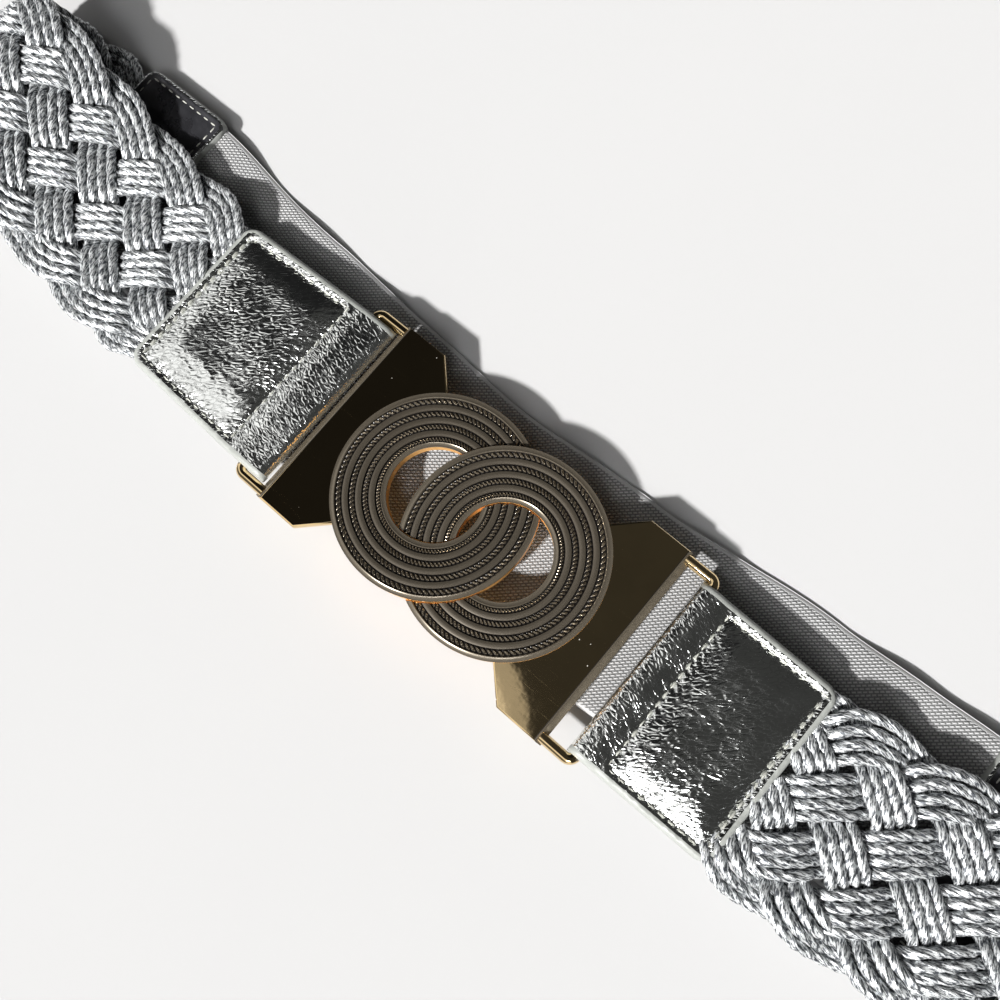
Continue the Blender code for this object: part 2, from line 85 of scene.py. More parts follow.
# Places across one ridge where its section has a point, from -1 to 1
ACROSS_RIDGE = {
    "rim": (-0.92, -0.5, 0.3, 0.62, 0.86),
    "rope": (-0.86, -0.72, -0.45, -0.15, 0.15, 0.45, 0.72, 0.86),
    "round": (-0.96, -0.8, -0.4, 0.0, 0.4, 0.8, 0.96),
    "hole rim": (-0.86, -0.62, -0.3, 0.5, 0.92),
}

# Sideways bow of the webbing, from its left end to its right end
WEB_LINE = [
    {"along": -1.00, "aside": 1.00},
    {"along": -0.60, "aside": 0.45},
    {"along": -0.35, "aside": 0.20},
    {"along": -0.08, "aside": 0.00},
    {"along": 0.25, "aside": 0.28},
    {"along": 0.62, "aside": 0.78},
    {"along": 1.00, "aside": 1.00},
]

# Waves of the webbing: middle and half length as shares of its half length
WEB_WAVES = [
    {"along": -0.70, "reach": 0.13, "height": 0.60, "skew": 0.10},
    {"along": -0.37, "reach": 0.12, "height": 0.80, "skew": -0.08},
    {"along": 0.03, "reach": 0.11, "height": 0.55, "skew": 0.06},
    {"along": 0.40, "reach": 0.12, "height": 0.75, "skew": -0.10},
    {"along": 0.72, "reach": 0.14, "height": 1.00, "skew": 0.12},
]

# Wear value that stands for the rough walls of the casting, past the 0 to 1 of its top; those walls get a
# painted amber glow
CAST_WALL = 2.0

# Wear of the rims and of the smooth ridges; the rope strands are worn fully
RIM_WEAR = 0.30
RIDGE_WEAR = 0.24

# Wear of the plate's rear slope
SLOPE_WEAR = 0.45

# Strands once round each rope row
STRANDS = 110

# Half width of a rope row, as a share of half its ridge's width
ROPE_HALF = 0.87

# Width of the thin pale line round the lining, and its distance from the edge paint
PIPING = 0.0007

# Corner radius of the stitching, and how far from the seams the padding reaches its full height
STITCH_CORNER = 0.002
PAD_REACH = 0.0072

# How deep the stitches pull into a front tab and into a rear tab
FRONT_GROOVE = 0.00042
REAR_GROOVE = 0.0003

# How far a front tab's outline is drawn on past its nose, where the fold has no edge
PAST_NOSE = 0.02

# Depth of the foil's fine folds, what the low side adds to it, and the height of swells and gathers
FINE_FOLD = 0.00005
LOW_FOLD = 0.00008
SWELL = 0.00030

# Length of plait that lies inside each tab
TUCKED = 0.006

# Pitch of a group's cords as a share of their thickness, and how far a cord strays sideways and in height
CORD_PITCH = 0.985
STRAY_ASIDE = 0.00032
STRAY_UP = 0.00028

# Drop of the webbing's selvedge under its middle, and the width of its sewn tongue as a share of its own
SELVEDGE_DROP = 0.00022
TONGUE_SHARE = 0.36

# How finely the pieces are divided
RING_STEPS = 990
LAP_STEPS = 128
CORD_SIDES = 16
CORD_STEP = 0.0009
LEATHER_STEP = 0.00042
WEB_STEP = 0.0009
ROUTE_STEPS = 24


def length(name, default, description):
    return FloatProperty(name=name, description=description, default=default, min=0.0, unit="LENGTH")


def plain_number(name, default, description):
    return FloatProperty(name=name, description=description, default=default, min=0.0)


def colour(name, default, description):
    return FloatVectorProperty(
        name=name, description=description, default=default, size=3, min=0.0, max=1.0, subtype="COLOR")


class BeltBuckleSettings(bpy.types.PropertyGroup):
    """Sizes and colours of the cast buckle"""
    ring_radius: length("Ring radius", 0.026, "Outer radius of each ring")
    hole_radius: length("Hole radius", 0.012, "Radius of the hole in each ring")
    ring_spacing: length("Ring spacing", 0.0218, "Distance between the two ring centres")
    ring_rise: length("Ring rise", 0.0015, "Height of the ridge tops over the plate")
    ridge_height: length("Ridge height", 0.0006, "Height of a ridge over the valleys beside it")
    strand_slant: plain_number(
        "Strand slant", 0.58, "Turn of a rope strand from its row's middle to its side")
    ring_tilt: plain_number("Ring tilt", 0.03, "Slope that lifts each ring where it lies on top")
    plate_top: length("Plate top", 0.0100, "Height of the polished face over the floor")
    plate_bottom: length("Plate bottom", 0.0080, "Height of the casting's underside over the floor")
    plate_rear: length("Plate rear edge", 0.0463, "From the buckle's middle to the plate's rear edge")
    shoulder: length("Plate shoulder", 0.0330, "From the buckle's middle to the cut corners")
    plate_edge: length("Plate edge", 0.0004, "Width of the bevel round the polished face")
    rear_slope: length("Rear slope", 0.0017, "Width of the slope along the rear edge")
    rear_drop: length("Rear drop", 0.0007, "Drop of that slope")
    rod: length("Rod", 0.0028, "Diameter of the lugs and the cross bar")
    bar_reach: length("Bar", 0.0539, "From the buckle's middle to the middle of the cross bar")
    lap_level: length("Lap level", 0.0096, "Height of the plane between the crossing rings")
    gap: length("Gap", 0.0003, "Gap between the rings where they cross")
    gold: colour("Gold", (0.84, 0.64, 0.36), "Plating on the polished parts")
    antique: colour("Antique gold", (0.46, 0.39, 0.29), "Darkened plating on the ridges")
    patina: colour("Patina", (0.012, 0.010, 0.009), "Black finish in the valleys")
    # Saturated amber on the walls is a painted glow of light reflected between the gold faces, warmer than
    # the plating
    painted_wall_glow: colour("Cast walls", (0.92, 0.52, 0.17), "Warm unpolished sides of the casting")


class BeltLeatherSettings(bpy.types.PropertyGroup):
    """Sizes and colours of the leather tabs"""
    level: length("Front level", 0.0088, "Height of the front layer's middle over the floor")
    nose_half: length("Nose", 0.0027, "Half thickness of the fold round the bar")
    half_width: length("Half width", 0.0252, "Half width of a front tab at the bar")
    left_end: length("Left end", 0.0238, "Half width of the left tab at its end")
    right_end: length("Right end", 0.0248, "Half width of the right tab at its end")
    bar_reach: length("Bar", 0.0539, "From the buckle's middle to the middle of the cross bar")
    seam: length("Cross seam", 0.0607, "From the buckle's middle to the cross seam")
    seam_half: length("Seam", 0.0015, "Half thickness at the stitching")
    pad_half: length("Pad", 0.0029, "Half thickness of the padded middle")
    end_half: length("End", 0.0024, "Half thickness at the tab's end")
    inset: length("Stitch inset", 0.0029, "From the edge to the stitching")
    corner: length("Corner", 0.0040, "Radius of the tab's corners")
    edge: length("Painted edge", 0.0015, "Radius and width of the painted edge")
    stitch: length("Stitch", 0.0021, "Length of one stitch")
    thread: length("Thread", 0.00034, "Thickness of the thread")
    foil: colour("Foil", (0.92, 0.94, 0.93), "Silver foil on the leather")
    paint: colour("Edge paint", (0.29, 0.30, 0.285), "Paint on the cut edges")
    yarn: colour("Thread colour", (0.46, 0.46, 0.42), "Sewing thread")
    # Near-black lining, which on the rear tabs also stands in for the shade cast by the front layer
    lining: colour("Lining", (0.014, 0.014, 0.016), "Dark lining on the inner face")


class BeltPlaitSettings(bpy.types.PropertyGroup):
    """Sizes and colours of the plaited bands"""
    width: length("Width", 0.054, "Width over the tips of the edge loops")
    repeat: length("Repeat", 0.0196, "Length of one repeat along the belt")
    left_phase: length("Left phase", 0.0038, "From the left tab's end to the first crossing")
    right_phase: length("Right phase", 0.0102, "From the right tab's end to the first crossing")
    groups: IntProperty(name="Groups", description="Groups of cords in one plait", default=7, min=3)
    cords: IntProperty(name="Cords", description="Cords in one group", default=4, min=1)
    cord: length("Cord", 0.0026, "Diameter of one cord")
    sway: length("Sway", 0.0014, "Height of a cord's middle over or under the band's middle")
    twist: length("Twist", 0.0150, "Length of one turn of the four threads in a cord")
    turn: length("Turn radius", 0.0226, "Radius of a group's turn at the band's edge")
    left_lag: plain_number("Left lag", 0.5, "Loop tips past their crossing, as a share of the repeat")
    right_lag: plain_number("Right lag", 0.25, "Loop tips past their crossing, as a share of the repeat")
    rise_start: length("Rise", 0.128, "Where the band starts to climb to the fold")
    fold_reach: length("Fold", 0.192, "From the buckle's middle to the middle of the band at the fold")
    fold_radius: length("Fold radius", 0.008, "Radius of the fold")
    back_level: length("Back level", 0.0029, "Height of the back layer's middle over the floor")
    silver: colour("Silver", (0.70, 0.72, 0.73), "Bright threads")
    shade: colour("Shade", (0.06, 0.065, 0.075), "Dark threads between them")


class BeltWebbingSettings(bpy.types.PropertyGroup):
    """Sizes and colours of the elastic webbing"""
    width: length("Width", 0.052, "Width of the webbing")
    thickness: length("Thickness", 0.0016, "Thickness of the webbing")
    bow: length("Bow", 0.0095, "How far its middle hangs back from its ends")
    drop: length("Drop", 0.022, "Length of the slope from the tab to the floor")
    wave: length("Wave", 0.0017, "Height of the highest wave")
    tongue: length("Tongue", 0.006, "Length sewn into each rear tab")
    row: length("Row", 0.00078, "Distance between two rows of the weave")
    float_length: length("Float", 0.00125, "Length of one float in a row")
    grey: colour("Grey", (0.47, 0.47, 0.475), "Webbing")


class BeltStageSettings(bpy.types.PropertyGroup):
    """Light and floor"""
    floor: colour("Floor", (0.455, 0.455, 0.46), "Pale floor")
    sun: plain_number("Sun", 7.6, "Strength of the key light")
    sun_elevation: FloatProperty(
        name="Sun elevation", description="Height of the key light", default=radians(41), subtype="ANGLE")
    lamp: plain_number("Lamp", 12.0, "Strength of the small bright lamp")
    sky: plain_number("Sky", 1.02, "Strength of the bright part of the sky")


# Shared tools


def smooth_step(share):
    share = min(1.0, max(0.0, share))
    return share * share * (3 - 2 * share)


def blend_rows(rows, key, value, at):
    """Reads a table between its rows, with a smooth step from row to row."""
    for low, high in zip(rows, rows[1:]):
        if at <= high[key]:
            share = (at - low[key]) / (high[key] - low[key])
            return low[value] + (high[value] - low[value]) * smooth_step(share)
    return rows[-1][value]


def add_piece(name, bm, materials, sharp=40):
    """Makes a bmesh a finished piece, shaded smooth between sharp edges."""
    mesh = bpy.data.meshes.new(name)
    bm.to_mesh(mesh)
    bm.free()
    mesh.shade_smooth()
    mesh.set_sharp_from_angle(angle=radians(sharp))
    for material in materials:
        mesh.materials.append(material)
    obj = bpy.data.objects.new(name, mesh)
    bpy.context.scene.collection.objects.link(obj)
    return obj


def finish_piece(obj, slot, *nodes):
    """Ties a piece to the frame."""
    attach(obj, "root")
    if nodes:
        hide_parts(*nodes)


def make_tube(bm, rings, sides, place, material=0, uv_at=None):
    """Wraps a grid into a tube: place(ring, side) gives each point. Its ends are closed."""
    made = bmesh.ops.create_grid(bm, x_segments=rings - 1, y_segments=sides, size=0.5)
    verts = made["verts"]
    uv_layer = bm.loops.layers.uv.verify() if uv_at else None
    at = {}
    for vert in verts:
        ring = round((vert.co.x + 0.5) * (rings - 1))
        side = round((vert.co.y + 0.5) * sides)
        at[vert] = (ring, side)
    faces = {face for vert in verts for face in vert.link_faces}
    for face in faces:
        face.material_index = material
        if uv_layer:
            for loop in face.loops:
                loop[uv_layer].uv = uv_at(*at[loop.vert])
    for vert, (ring, side) in at.items():
        vert.co = place(ring, side % sides)
    bmesh.ops.remove_doubles(bm, verts=verts, dist=1e-7)
    rims = [edge for edge in bm.edges if edge.is_boundary]
    caps = bmesh.ops.holes_fill(bm, edges=rims, sides=sides)["faces"]
    for face in caps:
        face.material_index = material


def make_slab(bm, columns, rows, place, uv_at=None):
    """Closed slab from a grid: place(along, across, top) gives each point."""
    made = bmesh.ops.create_grid(bm, x_segments=columns, y_segments=rows, size=0.5)
    low = made["verts"]
    high = [
        item for item in bmesh.ops.extrude_face_region(bm, geom=list(bm.faces))["geom"]
        if isinstance(item, bmesh.types.BMVert)]
    bmesh.ops.translate(bm, verts=high, vec=(0, 0, 1))
    uv_layer = bm.loops.layers.uv.verify()
    if uv_at:
        for face in bm.faces:
            for loop in face.loops:
                co = loop.vert.co
                loop[uv_layer].uv = uv_at(co.x + 0.5, 2 * co.y)
    for vert in low + high:
        co = vert.co
        vert.co = place(co.x + 0.5, 2 * co.y, co.z > 0.5)
    bmesh.ops.remove_doubles(bm, verts=list(bm.verts), dist=1e-6)
    bmesh.ops.recalc_face_normals(bm, faces=list(bm.faces))


# Buckle


def ridge_spans(s):
    """Each ridge with the radius of its middle and half its width, from the rim inwards."""
    outer = s.ring_radius
    for ridge in RIDGES:
        half = (s.ring_radius - s.hole_radius) * ridge["share"] / 2
        yield ridge, outer - half, half
        outer -= 2 * half


def ring_profile(s):
    """Closed section of the ring: radius and height over the floor."""
    valley = s.plate_top + s.ring_rise - s.ridge_height
    bevel = 0.12 * s.ridge_height
    points = [(s.ring_radius, s.plate_bottom), (s.ring_radius, valley - bevel)]
    for ridge, middle, half in ridge_spans(s):
        for across in ACROSS_RIDGE[ridge["kind"]]:
            points.append((middle - across * half, valley))
    points += [(s.hole_radius, valley - bevel), (s.hole_radius, s.plate_bottom)]
    return points


def ridge_at(s, radius):
    """Ridge under a radius, with the place across it from -1 to 1."""
    for ridge, middle, half in ridge_spans(s):
        if radius >= middle - half - 1e-7:
            return ridge, (middle - radius) / half
    return RIDGES[-1], 1.0


def relief_at(s, radius, angle):
    """Height over the valley, and how worn the finish is there, both from 0 to 1."""
    ridge, across = ridge_at(s, radius)
    if "rim" in ridge["kind"]:
        inward = across if ridge["kind"] == "rim" else -across
        lip = exp(-(((inward - 0.55) / 0.22) ** 2))
        return 0.62 * smooth_step((1 - abs(across)) / 0.07) + 0.38 * lip, RIM_WEAR
    if ridge["kind"] == "round":
        top = smooth_step((0.97 - abs(across)) / 0.17)
        return top * (0.66 + 0.34 * (1 - across ** 2)), RIDGE_WEAR * smooth_step((top - 0.1) / 0.5)
    top = sqrt(max(0.0, 1 - (across / ROPE_HALF) ** 2))
    turn = STRANDS * angle / (2 * pi) + s.strand_slant * across
    strand = abs(sin(pi * turn)) ** 1.3
    return top * (0.1 + 0.9 * strand), smooth_step((top * strand - 0.45) / 0.4)


def spin_section(centre, section, angle, steps, whole):
    """Turns a closed section of radius and height round an upright axis."""
    bm = bmesh.new()
    verts = [bm.verts.new((centre.x + radius, centre.y, z)) for radius, z in section]
    edges = [bm.edges.new(pair) for pair in zip(verts, verts[1:] + verts[:1])]
    bmesh.ops.spin(
        bm, geom=verts + edges, cent=centre, axis=(0, 0, 1), dvec=(0, 0, 0),
        angle=angle, steps=steps, use_merge=whole, use_duplicate=False)
    return bm


def spin_ring(s, side):
    """Turned ring, lifted where it lies over the other one."""
    centre = Vector((side * s.ring_spacing / 2, MIDLINE, 0))
    bm = spin_section(centre, ring_profile(s), 2 * pi, RING_STEPS, True)
    for vert in bm.verts:
        if vert.co.z < s.plate_top:
            continue
        aside = vert.co.y - centre.y
        radius = hypot(vert.co.x - centre.x, aside)
        angle = atan2(aside, vert.co.x - centre.x)
        height = 0.0
        if s.hole_radius + 1e-6 < radius < s.ring_radius - 1e-6:
            height = relief_at(s, radius, angle)[0]
        vert.co.z += s.ridge_height * height + side * s.ring_tilt * aside
    bmesh.ops.recalc_face_normals(bm, faces=list(bm.faces))
    return bm


def lap_cutter(s, side, half, low, high):
    """Half annulus where the other ring crosses this one."""
    centre = Vector((-side * s.ring_spacing / 2, MIDLINE, 0))
    inner = s.hole_radius - s.gap
    outer = s.ring_radius + s.gap
    section = ((inner, low), (outer, low), (outer, high), (inner, high))
    bm = spin_section(centre, section, half * pi, LAP_STEPS, False)
    bmesh.ops.holes_fill(bm, edges=[edge for edge in bm.edges if edge.is_boundary], sides=4)
    bmesh.ops.recalc_face_normals(bm, faces=list(bm.faces))
    return bm


def cut_laps(s, side, ring):
    """Takes away the upper half of the ring under the other one, and the lower half over it."""
    cuts = [
        (side, -s.ring_radius, s.lap_level + s.gap / 2),
        (-side, s.lap_level - s.gap / 2, s.ring_radius),
    ]
    tools = []
    for half, low, high in cuts:
        tool = add_piece("lap_cut", lap_cutter(s, side, half, low, high), [])
        tools.append(tool)
        modifier = ring.modifiers.new("lap", "BOOLEAN")
        modifier.operation = "DIFFERENCE"
        modifier.solver = "EXACT"
        modifier.object = tool
    depsgraph = bpy.context.evaluated_depsgraph_get()
    cut = bpy.data.meshes.new_from_object(ring.evaluated_get(depsgraph))
    for obj in [ring] + tools:
        mesh = obj.data
        bpy.data.objects.remove(obj, do_unlink=True)
        bpy.data.meshes.remove(mesh)
    return cut


def highest_face(bm):
    return max(bm.faces, key=lambda face: face.calc_center_median().z)


def add_plate(bm, s, side):
    """Polished plate with cut corners, running in under the ring."""
    inner = s.ring_spacing / 2 + s.hole_radius + 4 * s.gap
    inner_half = HALF_PLATE - (s.shoulder - inner)
    corners = [
        (inner, -inner_half), (s.shoulder, -HALF_PLATE), (s.plate_rear, -HALF_PLATE),
        (s.plate_rear, HALF_PLATE), (s.shoulder, HALF_PLATE), (inner, inner_half)]
    verts = [bm.verts.new((side * x, MIDLINE + y, s.plate_bottom + s.plate_edge / 4)) for x, y in corners]
    base = bm.faces.new(verts if side > 0 else verts[::-1])
    made = bmesh.ops.extrude_face_region(bm, geom=[base])["geom"]
    top = [item for item in made if isinstance(item, bmesh.types.BMVert)]
    bmesh.ops.translate(bm, verts=top, vec=(0, 0, s.plate_top - top[0].co.z))
    rear = [
        edge for edge in bm.edges
        if all(vert in top and abs(vert.co.x) > s.plate_rear - 1e-5 for vert in edge.verts)]
    bmesh.ops.bevel(
        bm, geom=rear, offset=s.rear_slope, offset_type="OFFSET", segments=1, profile=0.5,
        affect="EDGES", material=-1)
    for vert in bm.verts:
        if abs(vert.co.x) > s.plate_rear - 1e-5 and vert.co.z > s.plate_bottom + s.plate_edge:
            vert.co.z = s.plate_top - s.rear_drop
    bmesh.ops.bevel(
        bm, geom=list(highest_face(bm).edges), offset=s.plate_edge, offset_type="OFFSET", segments=2,
        profile=0.5, affect="EDGES", material=-1)
    bmesh.ops.inset_individual(
        bm, faces=[highest_face(bm)], thickness=s.plate_edge / 3, use_even_offset=True)


def rod_route(s):
    """Bent rod from corner to corner of the plate: places from the buckle's middle."""
    half = HALF_PLATE - s.rod / 2 - s.plate_edge
    bend = 0.66 * s.rod
    route = [(s.plate_rear - s.rod / 2, -half)]
    for corner, turn in ((-half, -pi / 2), (half, 0.0)):
        middle = corner + (bend if corner < 0 else -bend)
        for step in range(7):
            angle = turn + step * pi / 12
            route.append((s.bar_reach - bend + bend * cos(angle), middle + bend * sin(angle)))
    route.append((s.plate_rear - s.rod / 2, half))
    return route


def add_rod(bm, s, side, level, sides=20):
    """Lugs and cross bar in one bent rod."""
    route = rod_route(s)

    def place(ring, step):
        before = Vector(route[max(ring - 1, 0)])
        after = Vector(route[min(ring + 1, len(route) - 1)])
        ahead = (after - before).normalized()
        angle = 2 * pi * step / sides
        out = s.rod / 2 * cos(angle)
        x = route[ring][0] - ahead.y * out
        y = route[ring][1] + ahead.x * out
        return (side * x, MIDLINE + y, level + s.rod / 2 * sin(angle))

    make_tube(bm, len(route), sides, place, material=1)


def build_buckle(s, name, side, level, materials):
    """One casting: ring, plate and rod, with how worn each point's finish is."""
    ring = add_piece("ring_" + name, spin_ring(s, side), [])
    cut = cut_laps(s, side, ring)
    details = bmesh.new()
    add_plate(details, s, side)
    add_rod(details, s, side, level)
    for face in details.faces:
        face.material_index = 0 if 0.2 < abs(face.normal.x) < 0.9 and abs(face.normal.y) < 0.1 else 1
    bmesh.ops.recalc_face_normals(details, faces=list(details.faces))
    rest = bpy.data.meshes.new("rest")
    details.to_mesh(rest)
    details.free()
    bm = bmesh.new()
    worn_layer = bm.verts.layers.float.new("worn")
    bm.from_mesh(cut)
    centre_x = side * s.ring_spacing / 2
    for vert in bm.verts:
        aside = vert.co.y - MIDLINE
        radius = hypot(vert.co.x - centre_x, aside)
        vert[worn_layer] = CAST_WALL
        if s.hole_radius + 1e-5 < radius < s.ring_radius - 1e-5 and vert.co.z > s.lap_level + s.gap:
            vert[worn_layer] = relief_at(s, radius, atan2(aside, vert.co.x - centre_x))[1]
    bm.from_mesh(rest)
    for vert in bm.verts:
        if abs(vert.co.x) > s.plate_rear - 1.1 * s.rear_slope:
            vert[worn_layer] = SLOPE_WEAR
    for mesh in (cut, rest):
        bpy.data.meshes.remove(mesh)
    return add_piece("gold_buckle_" + name, bm, materials, sharp=30)


# Leather tabs


def outline_inset(x, y, low, high, half_width, corner):
    """Distance from the edge of a rectangle with round corners, positive inside it."""
    out_x = abs(x - (low + high) / 2) - (high - low) / 2 + corner
    out_y = abs(y) - half_width + corner
    outside = hypot(max(out_x, 0.0), max(out_y, 0.0))
    return corner - outside - min(max(out_x, out_y), 0.0)


def edge_drop(inset, radius):
    """How far a round edge lies under the face beside it."""
    if inset >= radius:
        return 0.0
    into = radius - max(inset, 0.0)
    return radius - sqrt(radius * radius - into * into)


def creases(x, y, side, scale, heading=0.71):
    """Fine folds of the foil, drawn out along a heading."""
    along = cos(heading) * x + sin(heading) * y
    across = cos(heading) * y - sin(heading) * x
    shift = 3.7 * side
    point = Vector((along / (2.6 * scale) + shift, across / scale, shift))
    bent = point + 0.6 * Vector((noise.noise(point * 0.7), noise.noise(point * 0.7 + Vector((5, 5, 5))), 0))
    ridge = 1 - 2 * abs(noise.noise(bent))
    return ridge * ridge - 0.5


def puckers(where, off, reach, side):
    """Gathers beside a line of stitches."""
    wave = noise.noise(Vector((where / 0.0011, off / 0.004, 9.1 * side)))
    return wave * exp(-((off / reach) ** 2))


class FrontTab:
    """Heights of one front tab: folded round the bar, padded between its seams."""

    def __init__(self, s, side):
        self.s = s
        self.side = side
        self.nose, self.end = sorted(abs(corner[0]) for corner in TAB_BOXES[side])
        self.end_half = s.left_end if side < 0 else s.right_end
        self.arc = s.nose_half * pi / 2
        self.run = self.arc + self.end - self.nose - s.nose_half

    def reach(self, along):
        """Place along the belt for a share of the tab's length, round the nose first."""
        distance = along * self.run
        if distance < self.arc:
            return self.nose + self.s.nose_half * (1 - cos(distance / self.s.nose_half))
        return self.nose + self.s.nose_half + distance - self.arc

    def half_width(self, x):
        share = min(1.0, max(0.0, (x - self.s.seam) / (self.end - self.s.seam)))
        return self.s.half_width + (self.end_half - self.s.half_width) * share

    def inset(self, x, y):
        """Distance from the tab's outline, positive inside it."""
        return outline_inset(x, y, self.nose - PAST_NOSE, self.end, self.half_width(x), self.s.corner)

    def stitched(self, x, y):
        """Distance from the stitching, positive inside it."""
        s = self.s
        return outline_inset(x, y, s.seam, self.end - s.inset, self.half_width(x) - s.inset, STITCH_CORNER)

    def body(self, x, y):
        """Half thickness without the round edge."""
        s = self.s
        flat = s.bar_reach + s.nose_half / 2
        if x < self.nose + s.nose_half:
            into = (self.nose + s.nose_half - x) / s.nose_half
            return s.nose_half * sqrt(max(0.0, 1 - into * into))
        wide = self.half_width(x)
        stitched = self.stitched(x, y)
        nose = s.nose_half + (s.seam_half - s.nose_half) * smooth_step((x - flat) / (s.seam - flat))
        strip = s.seam_half + 0.2 * (s.pad_half - s.seam_half)
        down = 0.5 - y / (2 * wide)
        reach = PAD_REACH + (0.0050 * down ** 1.5 if self.side < 0 else 0.0)
        within = min(x - s.seam, self.end - s.inset - x)
        aside = wide - s.inset - abs(y)
        half = max(nose, strip) if x < s.seam else strip
        if stitched > 0:
            pillow = smooth_step(within / PAD_REACH) * smooth_step(aside / reach)
            half = s.seam_half + (s.pad_half - s.seam_half) * pillow ** 0.75
        half -= FRONT_GROOVE * exp(-((stitched / 0.00075) ** 2))
        over_end = smooth_step((x - self.end + 0.012) / 0.012)
        return half - (half - s.end_half) * over_end * 0.5 if half > s.end_half else half

    def wrinkle(self, x, y):
        """Height of the foil's folds, its swells and the gathers at the seams."""
        calm = smooth_step((x - self.nose) / 0.003)
        low_side = smooth_step(0.5 - y / (2 * self.half_width(x)))
        fine = FINE_FOLD + LOW_FOLD * low_side
        at_nose = smooth_step((self.nose + 0.017 - x) / 0.014)
        folds = (1 - at_nose) * creases(self.side * x, y, self.side, 0.0014)
        folds += at_nose * creases(self.side * x, y, self.side, 0.0013, -0.33)
        swell = SWELL * noise.noise(Vector((x / 0.010, y / 0.010, 4.4 * self.side)))
        gathers = SWELL * puckers(x + y, self.stitched(x, y), 0.0022, self.side)
        return calm * (fine * folds + swell * low_side + gathers)

    def crumple(self, x, y):
        """How deeply the foil is cracked, from 0 where it is stretched smooth to 1."""
        stitched = self.stitched(x, y)
        down = 0.5 - y / (2 * self.half_width(x))
        outward = (x - self.s.seam) / (self.end - self.s.seam)
        if self.side < 0:
            pad = 0.20 + 0.55 * smooth_step((down + 0.2 * outward - 0.12) / 0.4)
            pad -= 0.5 * smooth_step((down + 0.2 * outward - 0.55) / 0.25)
        else:
            pad = 0.22 + 0.26 * smooth_step((down + 0.1 * outward - 0.1) / 0.3)
            pad += 0.3 * smooth_step((down + 0.22 * outward - 0.5) / 0.45)
        if stitched < 0:
            pad = 0.42
        return max(pad, 0.9 * exp(-((stitched / 0.0018) ** 2)))

    def place(self, along, across, top):
        s = self.s
        x = self.reach(along)
        y = across * (self.half_width(x) - edge_drop(self.end - x, s.corner))
        inset = self.inset(x, y)
        half = max(self.body(x, y), 0.0)
        rise = max(half - edge_drop(inset, min(s.edge, half) if half > 0 else s.edge), 0.0)
        if top and rise > 0:
            rise += (1 - smooth_step((s.edge - inset) / s.edge)) * self.wrinkle(x, y)
        return (self.side * x, MIDLINE + y, s.level + (rise if top else -rise))


def paint_tab(bm, inset_at, width, lined):
    """Edge paint near the outline, a dark lining inside it on the face that points lined's way. On the rear
    tabs that lining is partly painted shade.
    """
    for face in bm.faces:
        middle = face.calc_center_median()
        inset = inset_at(abs(middle.x), middle.y - MIDLINE)
        if inset < width:
            face.material_index = 1
        elif face.normal.z * lined > 0.5 and abs(inset - width - PIPING) > PIPING / 2:
            face.material_index = 3


def note_foil(bm, fold_side_at, crumple_at):
    """Writes where the foil's creases turn and how deep they are."""
    fold_layer = bm.verts.layers.float.new("fold_side")
    crumple_layer = bm.verts.layers.float.new("crumple")
    for vert in bm.verts:
        x, y = abs(vert.co.x), vert.co.y - MIDLINE
        vert[fold_layer] = fold_side_at(x, y)
        vert[crumple_layer] = crumple_at(x, y)


def stitch_row(bm, s, points, surface):
    """Small rounded stitches along a line of points, half sunk in the leather."""
    spacing = s.stitch * 1.35
    walked = 0.0
    due = spacing / 2
    for start, end in zip(points, points[1:]):
        step = Vector(end) - Vector(start)
        ahead = step.normalized()
        while due <= walked + step.length:
            add_stitch(bm, s, Vector(start) + ahead * (due - walked), ahead, surface)
            due += spacing
        walked += step.length


def add_stitch(bm, s, spot, ahead, surface, rings=7, sides=8):
    aside = Vector((-ahead.y, ahead.x))

    def place(ring, step):
        share = ring / (rings - 1)
        bulge = sqrt(max(0.0, 1 - (2 * share - 1) ** 2))
        radius = s.thread * (0.12 + 0.5 * bulge)
        angle = 2 * pi * step / sides
        at = spot + ahead * s.stitch * (share - 0.5) + aside * radius * cos(angle)
        lift = s.thread * (0.55 * bulge - 0.35)
        return (at.x, MIDLINE + at.y, surface(at.x, at.y) + lift + radius * sin(angle))

    make_tube(bm, rings, sides, place, material=2)


def build_front_tab(s, name, side, materials):
    tab = FrontTab(s, side)
    columns = round(tab.run / LEATHER_STEP)
    rows = round(2 * s.half_width / LEATHER_STEP)
    bm = bmesh.new()
    make_slab(bm, columns, rows, tab.place)
    paint_tab(bm, tab.inset, s.edge, -1)
    note_foil(bm, lambda x, y: smooth_step((s.seam + 0.002 - x) / 0.004), tab.crumple)
    for facing in (1, -1):

        def surface(x, y):
            return s.level + facing * (tab.body(abs(x), y) - 0.1 * s.thread)

        lines = [
            [(side * s.seam, y) for y in (-(s.half_width - s.inset), s.half_width - s.inset)],
            [(side * (tab.end - s.inset), y) for y in (-(tab.end_half - s.inset), tab.end_half - s.inset)],
        ]
        for edge in (-1, 1):
            lines.append([
                (side * x, edge * (tab.half_width(x) - s.inset)) for x in (s.seam, tab.end - s.inset)])
        for line in lines:
            stitch_row(bm, s, line, surface)
    return add_piece("foil_tab_" + name, bm, materials, sharp=60)


